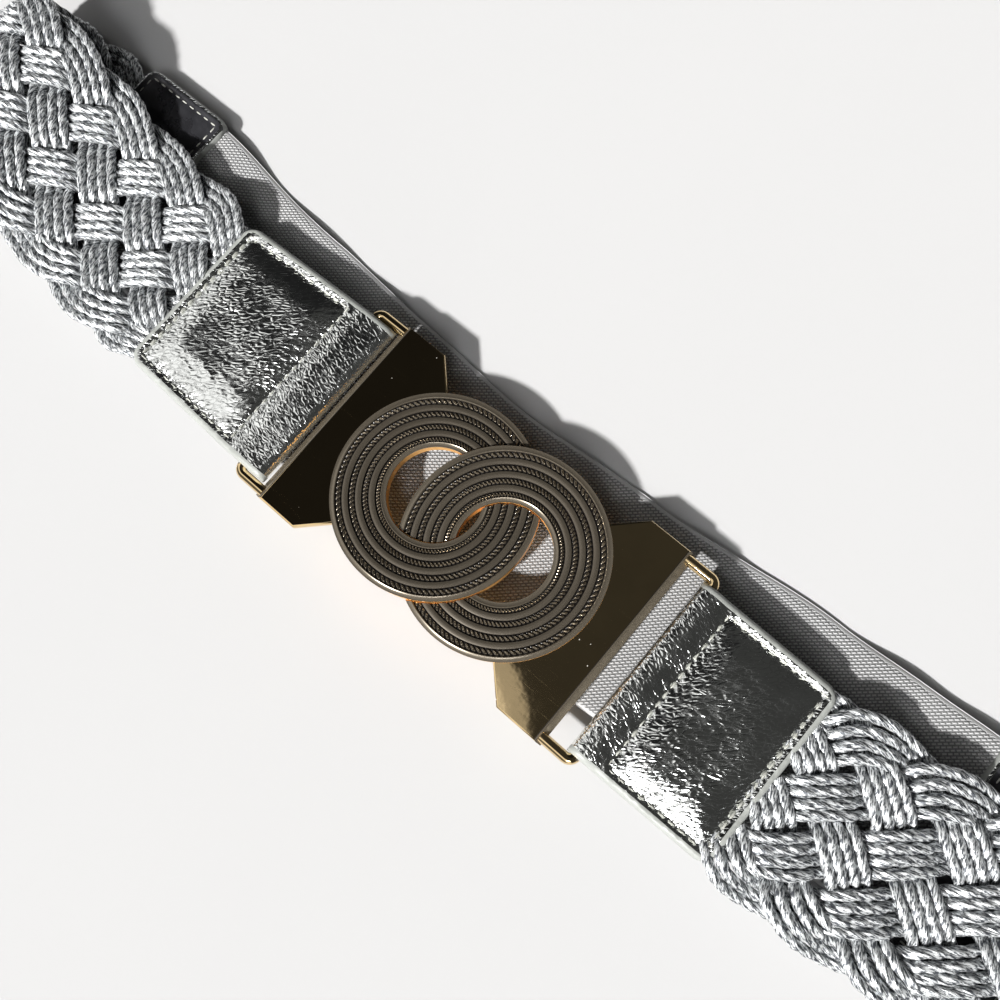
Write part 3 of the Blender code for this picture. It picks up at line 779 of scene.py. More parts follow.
def build_rear_tab(s, name, side, level, materials):
    """Flat sewn tab on the floor, between the plait and the webbing."""
    low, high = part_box("rear_tab_" + name)
    near, far = sorted(abs(corner[0]) for corner in (low, high))
    wide = (high[1] - low[1]) / 2
    middle = (low[1] + high[1]) / 2 - MIDLINE

    def inset_at(x, y):
        return outline_inset(x, y - middle, near, far, wide, s.corner)

    def half_at(x, y):
        stitched = outline_inset(x, y - middle, near + s.inset, far - s.inset, wide - s.inset, STITCH_CORNER)
        return s.end_half - REAR_GROOVE * exp(-((stitched / 0.0006) ** 2)) - 0.0001

    def place(along, across, top):
        x = near + along * (far - near)
        y = middle + across * (wide - edge_drop(min(x - near, far - x), s.corner))
        inset = inset_at(x, y)
        rise = half_at(x, y) - edge_drop(inset, s.edge)
        if inset > s.edge:
            rise += 0.00006 * creases(x, y, side + 0.4, 0.002)
        return (side * x, MIDLINE + y, level + rise if top else max(level - rise, 0.0))

    bm = bmesh.new()
    step = 1.6 * LEATHER_STEP
    make_slab(bm, round((far - near) / step), round(2 * wide / step), place)
    # Upper face lined dark: partly a lining, partly painted shade from the front layer over it
    paint_tab(bm, inset_at, s.edge / 4, 1)
    note_foil(bm, lambda x, y: 0.0, lambda x, y: 0.7)
    for facing in (1, -1):

        def surface(x, y):
            return level + facing * (half_at(abs(x), y) - 0.1 * s.thread)

        left, right = near + s.inset, far - s.inset
        low_y, high_y = middle - wide + s.inset, middle + wide - s.inset
        corners = [(left, low_y), (right, low_y), (right, high_y), (left, high_y), (left, low_y)]
        for start, end in zip(corners, corners[1:]):
            stitch_row(bm, s, [(side * start[0], start[1]), (side * end[0], end[1])], surface)
    return add_piece("foil_rear_tab_" + name, bm, materials, sharp=60)


# Plaited bands


class BandRoute:
    """Middle line of a band from the front tab's end, over the fold, to the rear tab."""

    def __init__(self, s, level, side):
        turn_x = s.fold_reach - s.fold_radius
        top = s.back_level + 2 * s.fold_radius
        self.start = max(abs(corner[0]) for corner in TAB_BOXES[side])
        self.end = REAR_HIGH[0]
        points = [(self.start - TUCKED, level), (s.rise_start, level)]
        for step in range(1, ROUTE_STEPS + 1):
            share = step / ROUTE_STEPS
            climb = (1 - cos(pi * share)) / 2
            points.append((s.rise_start + (turn_x - s.rise_start) * share, level + (top - level) * climb))
        for step in range(1, ROUTE_STEPS + 1):
            angle = pi / 2 - pi * step / ROUTE_STEPS
            points.append((
                turn_x + s.fold_radius * cos(angle), s.back_level + s.fold_radius * (1 + sin(angle))))
        points.append((self.end - TUCKED, s.back_level))
        self.points = points
        self.lengths = [-TUCKED]
        for (x0, z0), (x1, z1) in zip(points, points[1:]):
            self.lengths.append(self.lengths[-1] + hypot(x1 - x0, z1 - z0))
        self.total = self.lengths[-1] - TUCKED
        self.spot = 0

    def at(self, along):
        """Place, height and heading at a length from the tab's end."""
        i = min(self.spot, len(self.points) - 2)
        while i > 0 and along < self.lengths[i]:
            i -= 1
        while i < len(self.points) - 2 and along > self.lengths[i + 1]:
            i += 1
        self.spot = i
        share = (along - self.lengths[i]) / (self.lengths[i + 1] - self.lengths[i])
        x0, z0 = self.points[i]
        x1, z1 = self.points[i + 1]
        return x0 + (x1 - x0) * share, z0 + (z1 - z0) * share, atan2(z1 - z0, x1 - x0)

    def aside(self, along):
        """How far the band has drifted across by that length."""
        return REAR_ASIDE * smooth_step(along / self.total)


class GroupPath:
    """Zigzag of one group of cords across the band, over and under in turn."""

    def __init__(self, s, index, side):
        self.s = s
        self.rows = s.groups - 1
        self.cell = s.repeat / 2
        self.half_run = s.groups * self.cell
        self.pitch = s.width / 6.6
        self.edge = self.pitch * s.groups / 2
        self.slope = self.pitch / self.cell
        phase = s.left_phase if side < 0 else s.right_phase
        self.shift = phase + index * s.repeat + self.cell * (self.rows // 2 - 2)
        lag = s.left_lag if side < 0 else s.right_lag
        self.skew = (lag - 0.5) * s.repeat
        lean = atan2(self.slope, 1)
        self.reach = s.turn * sin(lean)
        self.centre = self.edge - self.slope * self.reach - s.turn * cos(lean)

    def across(self, off):
        """Place across the band, for a length from the group's turn at the far edge."""
        if abs(off) < self.reach:
            return self.centre + sqrt(self.s.turn ** 2 - off ** 2)
        left = self.half_run - abs(off)
        if left < self.reach:
            return -self.centre - sqrt(self.s.turn ** 2 - left ** 2)
        return self.edge - self.slope * abs(off)

    def level(self, off):
        """Height from -1, under, to 1, over."""
        left = self.half_run - abs(off)
        if abs(off) < self.cell:
            wave = -sin(pi * off / (2 * self.cell))
        elif left < self.cell:
            past = -left if off > 0 else left
            wave = -sin(pi * past / (2 * self.cell))
        else:
            wave = cos(pi * off / self.cell) * (1 if off > 0 else -1)
        return tanh(2.4 * wave) / tanh(2.4)

    def off(self, along):
        whole = 2 * self.half_run
        return (along - self.shift + self.half_run) % whole - self.half_run


def add_cord(bm, s, route, group, number, side):
    """One twisted cord of a group, from the front tab to the rear tab."""
    seed = Vector((7.3 * number, 3.1 * group.shift * 100, 5.7 * side))
    place_in_group = number - (s.cords - 1) / 2
    start = -0.0025
    span = route.total - 2 * start
    rings = round(span / CORD_STEP)
    middles = []
    for ring in range(rings):
        along = start + span * ring / (rings - 1)
        off = group.off(along)
        step = 0.0004
        rate = (group.across(group.off(along + step)) - group.across(group.off(along - step))) / (2 * step)
        lean = 1 / hypot(1, rate)
        spread = s.cord * CORD_PITCH * place_in_group
        stray = STRAY_ASIDE * noise.noise(seed + Vector((along / 0.007, 0, 0)))
        level = group.level(off)
        across = group.across(off) + (spread + stray) * lean
        shift = -(spread + stray) * rate * lean
        crown = 1 - 0.10 * (abs(place_in_group) > 1) * max(level, 0.0)
        rise = s.sway * level * crown + STRAY_UP * noise.noise(seed + Vector((along / 0.008, 9, 0)))
        near_edge = smooth_step((abs(across) - 0.26 * s.width) / (0.24 * s.width))
        place = along + shift + group.skew * near_edge
        from_end = min(along, route.total - along)
        full = smooth_step((from_end + 0.0005) / 0.0055)
        squeeze = 0.86 + 0.14 * smooth_step((from_end + 0.002) / 0.012)
        x, z, heading = route.at(place)
        up = Vector((-side * sin(heading), 0, cos(heading)))
        centre = Vector((side * x, MIDLINE + route.aside(along) + across * squeeze, z))
        centre += up * rise * (0.45 + 0.55 * full)
        middles.append((centre, up, 0.62 + 0.38 * full))
    walked = [0.0]
    for (a, _, _), (b, _, _) in zip(middles, middles[1:]):
        walked.append(walked[-1] + (b - a).length)
    frames = []
    for ring in range(rings):
        before = middles[max(ring - 1, 0)][0]
        after = middles[min(ring + 1, rings - 1)][0]
        ahead = (after - before).normalized()
        out = ahead.cross(middles[ring][1]).normalized()
        frames.append((middles[ring][0], out, out.cross(ahead).normalized(), middles[ring][2]))

    def place_point(ring, step):
        centre, out, up, flat = frames[ring]
        turn = 2 * pi * (step / CORD_SIDES - walked[ring] / s.twist + seed.x)
        ply = 4 * step / CORD_SIDES % 1.0
        radius = s.cord / 2 * (1.07 - 0.32 * (1 - abs(cos(pi * ply))) ** 0.8)
        return centre + out * radius * cos(turn) + up * radius * sin(turn) * flat

    def uv_at(ring, step):
        return (number * 4 + 4 * step / CORD_SIDES, walked[min(ring, rings - 1)] / s.cord)

    make_tube(bm, rings, CORD_SIDES, place_point, uv_at=uv_at)


def build_plait(s, name, side, level, materials):
    """One band of plaited groups, from its front tab round the fold to its rear tab."""
    route = BandRoute(s, level, side)
    bm = bmesh.new()
    whole = bpy.data.meshes.new("plait")
    for index in range(s.groups):
        group = GroupPath(s, index, side)
        for number in range(s.cords):
            cord = bmesh.new()
            add_cord(cord, s, route, group, number, side)
            bmesh.ops.recalc_face_normals(cord, faces=list(cord.faces))
            cord.to_mesh(whole)
            cord.free()
            bm.from_mesh(whole)
    bpy.data.meshes.remove(whole)
    return add_piece("cord_plait_" + name, bm, materials, sharp=80)


# Elastic webbing


def web_underside(s, x, y, half_length):
    """Height of the webbing's underside: waves on the floor and a ramp to each tab."""
    along = x / half_length
    height = 0.0
    for wave in WEB_WAVES:
        off = (along - wave["along"] - wave["skew"] * y / s.width) / wave["reach"]
        if abs(off) < 1:
            height = max(height, s.wave * wave["height"] * (1 + cos(pi * off)) / 2)
    start = half_length - s.tongue
    ramp = smooth_step((abs(x) - start + s.drop) / (s.drop - 0.0024))
    seat = (REAR_LOW[2] + REAR_HIGH[2]) / 2 - s.thickness / 2
    return height + (seat - height) * ramp


def build_webbing(s, material):
    """Wavy webbing on the floor, with a tongue in each rear tab."""
    half_length = WEB_HIGH[0]
    neck = half_length - 0.6 * s.tongue
    narrow = s.width * TONGUE_SHARE

    def place(along, across, top):
        x = half_length * (2 * along - 1)
        into = smooth_step((abs(x) - neck) / 0.0012)
        half_width = s.width / 2 + (narrow - s.width / 2) * into
        bow = blend_rows(WEB_LINE, "along", "aside", x / half_length)
        middle = MIDLINE + REAR_ASIDE - s.bow * (1 - bow) * (1 - into)
        y = across * half_width
        low = web_underside(s, x, y, half_length)
        inset = half_width - abs(y)
        round_edge = edge_drop(inset, s.thickness / 2)
        selvedge = SELVEDGE_DROP * smooth_step((inset - 0.0009) / 0.0005) - SELVEDGE_DROP
        if top:
            return (x, middle + y, low + s.thickness - round_edge + selvedge)
        return (x, middle + y, low + round_edge)

    def uv_at(along, across):
        return (half_length * (2 * along - 1), across * s.width / 2)

    bm = bmesh.new()
    make_slab(bm, round(2 * half_length / WEB_STEP), round(s.width / WEB_STEP), place, uv_at=uv_at)
    return add_piece("ribbed_webbing", bm, [material], sharp=60)


# Materials

# Dust on the polished gold and in the darker ring
DUST = (0.85, 0.83, 0.78)
DULL_DUST = (0.55, 0.53, 0.48)

# How far the cells of the foil's cracks are pulled out of shape
FOIL_WARP = 0.0014

# Turn of the webbing's diagonal rows
WEAVE_TURN = -0.71


def fill(tree, node, inputs):
    """Gives inputs of a node their values, or links them to other nodes' sockets."""
    for key, value in inputs.items():
        if isinstance(value, bpy.types.NodeSocket):
            tree.links.new(value, node.inputs[key])
        else:
            node.inputs[key].default_value = value


def add_node(tree, kind, inputs=None, **settings):
    """New shader node with its settings, and its inputs as fill takes them."""
    made = tree.nodes.new("ShaderNode" + kind)
    for key, value in settings.items():
        setattr(made, key, value)
    fill(tree, made, inputs or {})
    return made


def new_material(name):
    """Material with its tree, its shader and the coordinates of its piece."""
    material = bpy.data.materials.new(name)
    material.use_nodes = True
    tree = material.node_tree
    return material, tree, tree.nodes["Principled BSDF"], add_node(tree, "TexCoord").outputs


def math_node(tree, operation, *values):
    """Math node whose inputs are numbers or other sockets. Gives its output."""
    return add_node(tree, "Math", dict(enumerate(values)), operation=operation).outputs[0]


def weigh(tree, value, weight, base):
    """A value times its weight, on top of a base."""
    return math_node(tree, "MULTIPLY_ADD", value, weight, base)


def rest_of(tree, value):
    return math_node(tree, "SUBTRACT", 1.0, value)


def ramp_node(tree, value, low, high, to_low=0.0, to_high=1.0):
    """Smooth map of a value from one range to another."""
    inputs = {"Value": value, "From Min": low, "From Max": high, "To Min": to_low, "To Max": to_high}
    return add_node(tree, "MapRange", inputs, interpolation_type="SMOOTHSTEP").outputs["Result"]


def mix_colours(tree, mask, first, second):
    """Mix of two colours, each a plain colour or a socket."""
    made = add_node(tree, "Mix", {"Factor": mask}, data_type="RGBA")
    for socket, value in ((6, first), (7, second)):
        fill(tree, made, {socket: value if isinstance(value, bpy.types.NodeSocket) else (*value, 1.0)})
    return made.outputs[2]


def tinted(colour, share):
    return tuple(share * channel for channel in colour)


def noise_node(tree, vector, scale, detail, **more):
    made = add_node(tree, "TexNoise", {"Vector": vector, "Scale": scale, "Detail": detail})
    fill(tree, made, {key.capitalize(): value for key, value in more.items()})
    return made.outputs


def turned(tree, vector, turn=0.0, scale=(1, 1, 1), **settings):
    """Coordinates turned about Z and scaled."""
    inputs = {"Vector": vector, "Rotation": (0, 0, turn), "Scale": scale}
    return add_node(tree, "Mapping", inputs, **settings).outputs["Vector"]


def attribute(tree, name):
    return add_node(tree, "Attribute", attribute_name=name).outputs["Fac"]


def bump_node(tree, height, strength, distance):
    inputs = {"Height": height, "Strength": strength, "Distance": distance}
    return add_node(tree, "Bump", inputs).outputs["Normal"]


def new_group(name, inputs, outputs):
    """Shader node group with a Vector, named numbers with their defaults, and named outputs."""
    group = bpy.data.node_groups.new(name, "ShaderNodeTree")
    group.interface.new_socket(name="Vector", in_out="INPUT", socket_type="NodeSocketVector")
    for label, default in inputs.items():
        socket = group.interface.new_socket(name=label, in_out="INPUT", socket_type="NodeSocketFloat")
        socket.default_value = default
    for label in outputs:
        group.interface.new_socket(name=label, in_out="OUTPUT", socket_type="NodeSocketFloat")
    return group, group.nodes.new("NodeGroupInput").outputs, group.nodes.new("NodeGroupOutput")


def place_group(tree, name, make, inputs):
    """Puts a shared group in a material with the material's own values. The first one makes it."""
    group = bpy.data.node_groups.get(name) or make()
    return add_node(tree, "Group", inputs, node_tree=group).outputs


def handling_wear_group():
    """Fine hairlines, dust specks and cloudy smears from handling."""
    group, given, result = new_group(
        "handling_wear", {"Speck size": 0.0004, "Speck share": 0.1}, ("Specks", "Hairlines", "Smears"))
    scale = math_node(group, "DIVIDE", 0.35, given["Speck size"])
    dots = add_node(group, "TexVoronoi", {"Vector": given["Vector"], "Scale": scale}, feature="F1").outputs
    near = ramp_node(group, dots["Distance"], 0.10, 0.24, 1.0, 0.0)
    chosen = math_node(group, "LESS_THAN", dots["Color"], given["Speck share"])
    lines = []
    for turn in (0.5, 1.7, 2.6):
        drawn_out = turned(group, given["Vector"], turn, (60, 5200, 900))
        lines.append(ramp_node(group, noise_node(group, drawn_out, 1.0, 1.0)["Fac"], 0.70, 0.78))
    both = math_node(group, "MAXIMUM", lines[0], lines[1])
    cloud = noise_node(group, given["Vector"], 70.0, 4.0, roughness=0.6)
    fill(group, result, {
        "Specks": math_node(group, "MULTIPLY", near, chosen),
        "Hairlines": math_node(group, "MAXIMUM", both, lines[2]),
        "Smears": ramp_node(group, cloud["Fac"], 0.35, 0.7)})
    return group


def wear_marks(tree, coords, speck_size, speck_share):
    inputs = {"Vector": coords["Object"], "Speck size": speck_size, "Speck share": speck_share}
    return place_group(tree, "handling_wear", handling_wear_group, inputs)


def foil_creases_group():
    """Fine cracked folds of foil leather, drawn out one way on the pad and another way beside the fold."""
    group, given, result = new_group(
        "foil_creases", {"Grain": 900.0, "Fold side": 0.0}, ("Height", "Cracks", "Patches"))
    heights = []
    cracks = []
    for turn, stretch in ((0.74, 2.6), (-0.28, 1.9)):
        drawn_out = turned(group, given["Vector"], turn, (stretch, 1.0, 1.0), vector_type="TEXTURE")
        warp = noise_node(group, drawn_out, 420.0, 2.0)["Color"]
        pull = add_node(group, "VectorMath", operation="MULTIPLY_ADD", inputs={
            0: warp, 1: (FOIL_WARP, FOIL_WARP, FOIL_WARP), 2: drawn_out})
        cells = add_node(group, "TexVoronoi", feature="DISTANCE_TO_EDGE", inputs={
            "Vector": pull.outputs[0], "Scale": given["Grain"]})
        pebble = ramp_node(group, cells.outputs["Distance"], 0.0, 0.32)
        folds = noise_node(group, drawn_out, 900.0, 2.0, roughness=0.55, distortion=0.4)
        heights.append(weigh(group, folds["Fac"], 0.8, pebble))
        cracks.append(ramp_node(group, cells.outputs["Distance"], 0.02, 0.10, 1.0, 0.0))
    for label, (pad, fold) in (("Height", heights), ("Cracks", cracks)):
        kept = math_node(group, "MULTIPLY", pad, rest_of(group, given["Fold side"]))
        fill(group, result, {label: weigh(group, fold, given["Fold side"], kept)})
    patches = noise_node(group, given["Vector"], 120.0, 2.0)
    fill(group, result, {"Patches": ramp_node(group, patches["Fac"], 0.36, 0.64)})
    return group


def fibre_group():
    """Broken streaks of bright and dark fibre along a thread. Vector is across and along it."""
    group, given, result = new_group("fibres", {"Fineness": 1.0}, ("Streaks", "Height"))
    drawn_out = turned(group, given["Vector"], 0.20, (5.0, 1.8, 1.0))
    streaks = noise_node(group, drawn_out, given["Fineness"], 3.0, roughness=0.6)["Fac"]
    fill(group, result, {"Height": streaks, "Streaks": ramp_node(group, streaks, 0.44, 0.56)})
    return group


def fibre_streaks(tree, vector):
    return place_group(tree, "fibres", fibre_group, {"Vector": vector, "Fineness": 1.0})


def polished_gold(s):
    material, tree, shader, coords = new_material("polished_gold")
    marks = wear_marks(tree, coords, 0.0003, 0.12)
    worn = mix_colours(tree, marks["Smears"], s.gold, tinted(s.gold, 0.9))
    lined = weigh(tree, marks["Hairlines"], 0.10, weigh(tree, marks["Smears"], 0.025, 0.025))
    raised = math_node(tree, "ADD", marks["Specks"], marks["Smears"])
    fill(tree, shader, {
        "Base Color": mix_colours(tree, marks["Specks"], worn, DUST),
        "Metallic": 1.0,
        "Roughness": weigh(tree, marks["Specks"], 0.5, lined),
        "Normal": bump_node(tree, raised, 0.06, 0.0001)})
    return material


def worn_gold(s):
    """Gold on the ridges and black patina in the valleys, with a painted amber glow of reflected light on the
    cast walls.
    """
    material, tree, shader, coords = new_material("patinated_gold")
    marks = wear_marks(tree, coords, 0.00025, 0.03)
    worn = attribute(tree, "worn")
    bright = ramp_node(tree, worn, 0.05, 0.8)
    # The walls get the painted amber glow, rougher and less metallic than the plating
    wall = ramp_node(tree, worn, 1.3, 1.7)
    plated = mix_colours(tree, bright, s.patina, s.antique)
    dusty = mix_colours(tree, marks["Specks"], plated, DULL_DUST)
    rough = weigh(tree, marks["Smears"], 0.05, weigh(tree, bright, -0.13, 0.26))
    grain = noise_node(tree, coords["Object"], 2600.0, 2.0)
    fill(tree, shader, {
        "Base Color": mix_colours(tree, wall, dusty, s.painted_wall_glow),
        "Metallic": weigh(tree, wall, -0.35, weigh(tree, bright, 0.6, 0.4)),
        "Roughness": weigh(tree, wall, 0.26, rough),
        "Normal": bump_node(tree, grain["Fac"], 0.12, 0.00004)})
    return material


def silver_foil(s):
    """Mirror-like silver foil, cracked finely; the crumple attribute says how strongly."""
    material, tree, shader, coords = new_material("silver_foil_leather")
    folds = place_group(tree, "foil_creases", foil_creases_group, {
        "Vector": coords["Object"], "Grain": 1050.0, "Fold side": attribute(tree, "fold_side")})
    marks = wear_marks(tree, coords, 0.0003, 0.02)
    rough = weigh(tree, folds["Cracks"], 0.10, weigh(tree, folds["Patches"], 0.05, 0.11))
    uneven = weigh(tree, folds["Patches"], 0.5, 0.6)
    deep = weigh(tree, attribute(tree, "crumple"), uneven, 0.16)
    height = math_node(tree, "MULTIPLY", folds["Height"], deep)
    fill(tree, shader, {
        "Base Color": mix_colours(tree, folds["Cracks"], s.foil, tinted(s.foil, 0.72)),
        "Metallic": 1.0,
        "Roughness": weigh(tree, marks["Specks"], 0.3, rough),
        "Normal": bump_node(tree, height, 0.9, 0.00012)})
    return material


def lining_and_painted_shade(s):
    """Dark shiny lining on the inner face of the tabs; on the rear tabs its near-black is also painted shade
    from the front layer over them
    """
    material, tree, shader, coords = new_material("dark_lining_and_painted_shade")
    marks = wear_marks(tree, coords, 0.0003, 0.03)
    cloudy = mix_colours(tree, marks["Smears"], s.lining, tinted(s.lining, 2.2))
    grain = add_node(tree, "TexVoronoi", {"Vector": coords["Object"], "Scale": 1500.0}, feature="SMOOTH_F1")
    fill(tree, shader, {
        "Base Color": mix_colours(tree, marks["Specks"], cloudy, (0.2, 0.2, 0.2)),
        "Roughness": weigh(tree, marks["Smears"], 0.18, 0.24),
        "Normal": bump_node(tree, grain.outputs["Distance"], 0.4, 0.0001)})
    return material


def edge_paint(s):
    material, tree, shader, coords = new_material("pale_edge_paint")
    marks = wear_marks(tree, coords, 0.0006, 0.12)
    cloudy = mix_colours(tree, marks["Smears"], s.paint, tinted(s.paint, 0.86))
    lumps = noise_node(tree, coords["Object"], 900.0, 3.0)
    fill(tree, shader, {
        "Base Color": mix_colours(tree, marks["Specks"], cloudy, tinted(s.paint, 0.62)),
        "Roughness": weigh(tree, marks["Smears"], 0.2, 0.38),
        "Normal": bump_node(tree, lumps["Fac"], 0.5, 0.00015)})
    return material


def sewing_thread(s):
    material, tree, shader, coords = new_material("sewing_thread")
    threads = fibre_streaks(tree, turned(tree, coords["Object"], scale=(2600, 2600, 2600)))
    fill(tree, shader, {
        "Base Color": mix_colours(tree, threads["Streaks"], tinted(s.yarn, 0.72), s.yarn),
        "Roughness": 0.55,
        "Normal": bump_node(tree, threads["Height"], 0.6, 0.0001)})
    return material


def silver_cord(s):
    """Metallic yarn: bright and dark fibres that follow the twist of each thread."""
    material, tree, shader, coords = new_material("silver_twisted_cord")
    threads = fibre_streaks(tree, coords["UV"])
    fill(tree, shader, {
        "Base Color": mix_colours(tree, threads["Streaks"], s.shade, s.silver),
        "Metallic": 0.55,
        "Roughness": weigh(tree, threads["Streaks"], -0.14, 0.46),
        "Normal": bump_node(tree, threads["Height"], 0.8, 0.00022)})
    return material


def grey_webbing(s):
    """Short floats in rows on the diagonal, with a plain selvedge along each edge, and painted shade in the
    gaps between the floats.
    """
    material, tree, shader, coords = new_material("grey_elastic_webbing")
    weave = add_node(tree, "TexBrick", offset=0.5, offset_frequency=2, inputs={
        "Vector": turned(tree, coords["UV"], WEAVE_TURN), "Scale": 1.0,
        "Mortar Size": 0.52 * s.row, "Mortar Smooth": 1.0, "Brick Width": s.float_length, "Row Height": s.row,
        "Color1": (1, 1, 1, 1), "Color2": (0.8, 0.8, 0.8, 1), "Mortar": (0, 0, 0, 1)})
    threads = fibre_streaks(tree, turned(tree, coords["UV"], WEAVE_TURN, (1400, 5200, 1)))
    split = add_node(tree, "SeparateXYZ", {0: coords["UV"]})
    from_middle = math_node(tree, "ABSOLUTE", split.outputs["Y"])
    field = ramp_node(tree, from_middle, s.width / 2 - 0.0013, s.width / 2 - 0.0009, 1.0, 0.0)
    woven = math_node(tree, "MULTIPLY", rest_of(tree, weave.outputs["Fac"]), field)
    relief = weigh(tree, rest_of(tree, field), 0.8, woven)
    # Gaps between the floats are darkened to 0.30 of the grey: painted shade in the recesses of the weave,
    # from the same mask as the bump
    tone = mix_colours(tree, relief, tinted(s.grey, 0.30), s.grey)
    soft = mix_colours(tree, threads["Streaks"], tone, tinted(s.grey, 1.1))
    fill(tree, shader, {
        "Base Color": mix_colours(tree, ramp_node(tree, relief, 0.0, 1.0, 0.0, 0.35), tone, soft),
        "Roughness": 0.55,
        "Sheen Weight": 0.15,
        "Normal": bump_node(tree, weigh(tree, threads["Height"], 0.25, relief), 0.8, 0.0003)})
    return material


def pale_floor(s):
    material, tree, shader, coords = new_material("pale_floor")
    faint = ramp_node(tree, noise_node(tree, coords["Object"], 9.0, 3.0)["Fac"], 0.3, 0.7)
    fill(tree, shader, {
        "Base Color": mix_colours(tree, faint, s.floor, tinted(s.floor, 0.99)),
        "Roughness": 0.9,
        "Specular IOR Level": 0.1})
    return material


# Stage

# Camera of the photograph, on the belt's own axes
CAMERA_PLACE = (0.0419, -0.0201, 0.2220)
CAMERA_BACK = (0.18440, -0.10295, 0.97745)
CAMERA_UP = (-0.62600, 0.75438, 0.19755)
CAMERA_LENS = 32.26

# Where the small panel overhead and the bright lamp stand, seen from the belt
PANEL_HEADING = (-0.10, -0.145, 0.984)
LAMP_HEADING = (0.379, -0.583, 0.719)

# Heading and softness of the key light, and the tint of daylight
SUN_HEADING = radians(-93)
SUN_SOFTNESS = radians(4)
DAYLIGHT = (1.0, 0.99, 0.97)


def aim_camera():
    data = bpy.data.cameras.new("photo_camera")
    data.sensor_width = 36.0
    data.lens = CAMERA_LENS
    data.clip_start = 0.01
    data.clip_end = 20.0
    camera = bpy.data.objects.new("photo_camera", data)
    back = Vector(CAMERA_BACK).normalized()
    right = Vector(CAMERA_UP).cross(back).normalized()
    up = back.cross(right)
    turn = Matrix((right, up, back)).transposed().to_4x4()
    camera.matrix_world = Matrix.Translation(CAMERA_PLACE) @ turn
    bpy.context.scene.collection.objects.link(camera)
    bpy.context.scene.camera = camera


def add_sun(s):
    data = bpy.data.lights.new("key_light", "SUN")
    data.energy = s.sun
    data.angle = SUN_SOFTNESS
    data.color = DAYLIGHT
    light = bpy.data.objects.new("key_light", data)
    level = cos(s.sun_elevation)
    away = Vector((cos(SUN_HEADING) * level, sin(SUN_HEADING) * level, sin(s.sun_elevation)))
    light.rotation_mode = "QUATERNION"
    light.rotation_quaternion = away.to_track_quat("Z", "Y")
    bpy.context.scene.collection.objects.link(light)


def facing_node(tree, vector, heading):
    """Cosine of the angle between a direction and a heading."""
    inputs = {0: vector, 1: Vector(heading).normalized()}
    return add_node(tree, "VectorMath", inputs, operation="DOT_PRODUCT").outputs["Value"]


def studio_sky(s):
    """Dark sky with a soft window on the key light's side, a small panel overhead and a lamp."""
    world = bpy.data.worlds.new("studio_sky")
    bpy.context.scene.world = world
    world.use_nodes = True
    tree = world.node_tree
    sight = add_node(tree, "TexCoord").outputs["Generated"]
    split = add_node(tree, "SeparateXYZ", {0: sight}).outputs
    lean = weigh(tree, split["X"], -0.45, math_node(tree, "MULTIPLY", split["Y"], -1.0))
    window = math_node(
        tree, "MULTIPLY", ramp_node(tree, lean, 0.27, 0.42), ramp_node(tree, lean, 0.58, 0.76, 1.0, 0.12))
    low_light = ramp_node(tree, split["Z"], 0.10, 0.50, 0.05, 0.0)
    near_panel = facing_node(tree, sight, PANEL_HEADING)
    panel = math_node(
        tree, "ADD", ramp_node(tree, near_panel, 0.9915, 0.9925, 0.0, 0.4),
        ramp_node(tree, near_panel, 0.994, 0.998, 0.0, 1.4))
    lamp = ramp_node(tree, facing_node(tree, sight, LAMP_HEADING), 0.989, 0.993, 0.0, s.lamp)
    total = math_node(tree, "MAXIMUM", math_node(tree, "MAXIMUM", window, low_light), panel)
    eastward = ramp_node(tree, split["X"], -0.32, -0.04)
    overhead = mix_colours(tree, eastward, (0.0105, 0.0105, 0.0105), (0.036, 0.036, 0.034))
    tone = mix_colours(tree, total, overhead, DAYLIGHT)
    lit = add_node(tree, "VectorMath", {0: tone, 1: lamp}, operation="ADD")
    fill(tree, tree.nodes["Background"], {"Color": lit.outputs[0], "Strength": s.sky})


def build_stage(s):
    bm = bmesh.new()
    bmesh.ops.create_grid(bm, x_segments=8, y_segments=8, size=1.6)
    floor = add_piece("floor", bm, [pale_floor(s)])
    aim_camera()
    add_sun(s)
    studio_sky(s)
    bpy.context.scene.view_settings.view_transform = "Standard"


# Operators and panel


class BELT_OT_buckle(bpy.types.Operator):
    """Builds the two cast buckle halves with their crossing rings"""
    bl_idname = "belt.buckle"
    bl_label = "Buckle"

    def execute(self, context):
        s = context.scene.belt_buckle
        materials = [worn_gold(s), polished_gold(s)]
        level = context.scene.belt_leather.level
        for name, side in SIDES.items():
            piece = build_buckle(s, name, side, level, materials)
            finish_piece(piece, "gold_plated_casting", "buckle_half_" + name)
        return {"FINISHED"}


class BELT_OT_leather(bpy.types.Operator):
    """Builds the front and rear leather tabs with their stitching"""
    bl_idname = "belt.leather"
    bl_label = "Leather tabs"

    def execute(self, context):
        s = context.scene.belt_leather
        materials = [silver_foil(s), edge_paint(s), sewing_thread(s), lining_and_painted_shade(s)]
        back = context.scene.belt_plait.back_level
        for name, side in SIDES.items():
            tab = build_front_tab(s, name, side, materials)
            finish_piece(tab, "silver_foil_leather", "front_tab_" + name)
            rear = build_rear_tab(s, name, side, back, materials)
            finish_piece(rear, "silver_foil_leather", "rear_tab_" + name)
        return {"FINISHED"}


class BELT_OT_plaits(bpy.types.Operator):
    """Builds the two plaited bands from twisted cords"""
    bl_idname = "belt.plaits"
    bl_label = "Plaited bands"

    def execute(self, context):
        s = context.scene.belt_plait
        materials = [silver_cord(s)]
        level = context.scene.belt_leather.level
        for name, side in SIDES.items():
            piece = build_plait(s, name, side, level, materials)
            finish_piece(piece, "silver_twisted_cord", "plait_" + name)
        return {"FINISHED"}


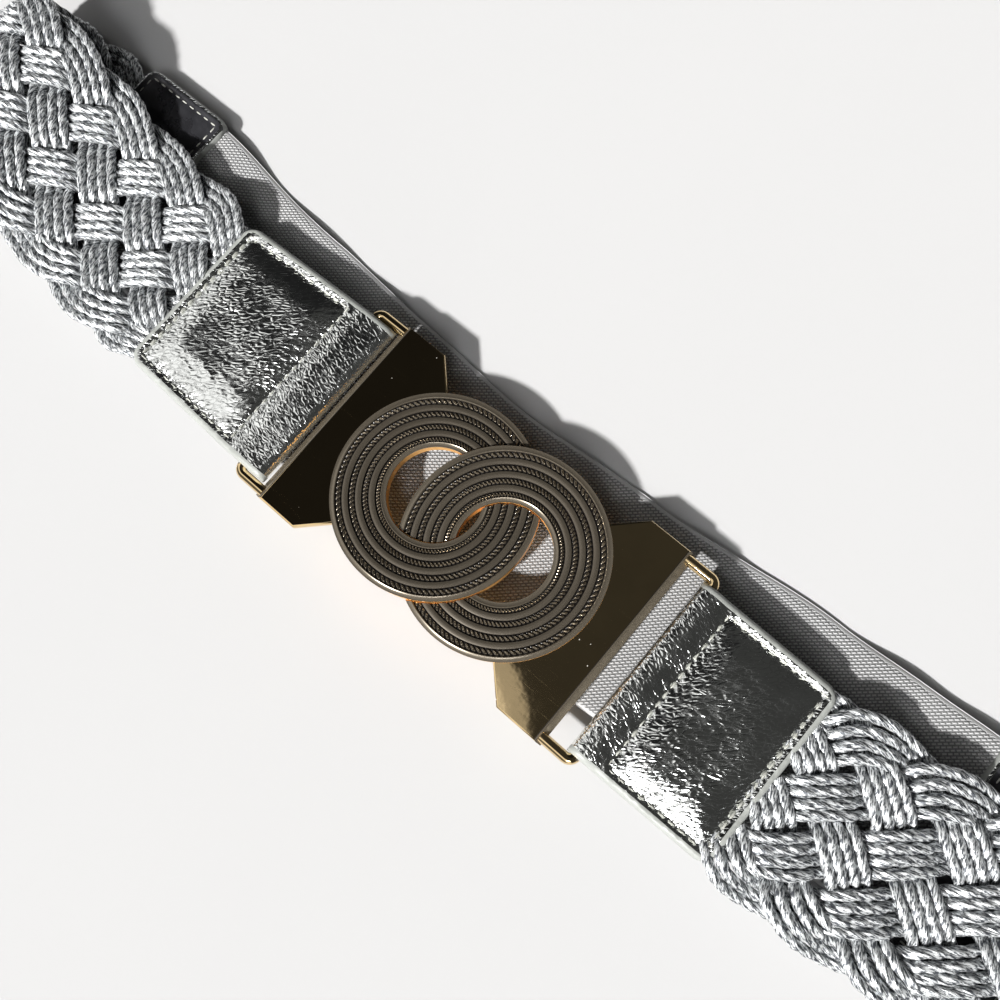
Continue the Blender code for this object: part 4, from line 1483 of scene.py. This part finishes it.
class BELT_OT_webbing(bpy.types.Operator):
    """Builds the elastic webbing at the back of the belt"""
    bl_idname = "belt.webbing"
    bl_label = "Elastic webbing"

    def execute(self, context):
        s = context.scene.belt_webbing
        piece = build_webbing(s, grey_webbing(s))
        finish_piece(piece, "grey_elastic_webbing", "elastic_web")
        return {"FINISHED"}


class BELT_OT_stage(bpy.types.Operator):
    """Adds the floor, the light and the camera"""
    bl_idname = "belt.stage"
    bl_label = "Stage"

    def execute(self, context):
        build_stage(context.scene.belt_stage)
        return {"FINISHED"}


class BELT_PT_panel(bpy.types.Panel):
    """Lists the steps that dress the belt"""
    bl_label = "Elastic stretch belt"
    bl_space_type = "VIEW_3D"
    bl_region_type = "UI"
    bl_category = "Belt"

    def draw(self, context):
        for operator, settings, _ in STEPS:
            box = self.layout.box()
            box.operator(operator)
            group = getattr(context.scene, settings)
            for key in group.bl_rna.properties.keys():
                if key not in ("rna_type", "name"):
                    box.prop(group, key)


# Each step's operator, the name of its settings on the scene, and their class
STEPS = (
    ("belt.buckle", "belt_buckle", BeltBuckleSettings),
    ("belt.leather", "belt_leather", BeltLeatherSettings),
    ("belt.plaits", "belt_plait", BeltPlaitSettings),
    ("belt.webbing", "belt_webbing", BeltWebbingSettings),
    ("belt.stage", "belt_stage", BeltStageSettings),
)

CLASSES = tuple(settings for _, _, settings in STEPS) + (
    BELT_OT_buckle, BELT_OT_leather, BELT_OT_plaits, BELT_OT_webbing, BELT_OT_stage, BELT_PT_panel)


def register():
    for item in CLASSES:
        bpy.utils.register_class(item)
    for _, name, settings in STEPS:
        setattr(bpy.types.Scene, name, PointerProperty(type=settings))


def unregister():
    for _, name, _ in STEPS:
        delattr(bpy.types.Scene, name)
    for item in reversed(CLASSES):
        bpy.utils.unregister_class(item)


def main():
    register()
    bpy.ops.belt.stage()
    bpy.ops.belt.webbing()
    bpy.ops.belt.buckle()
    bpy.ops.belt.leather()
    bpy.ops.belt.plaits()


if __name__ == "__main__":
    main()
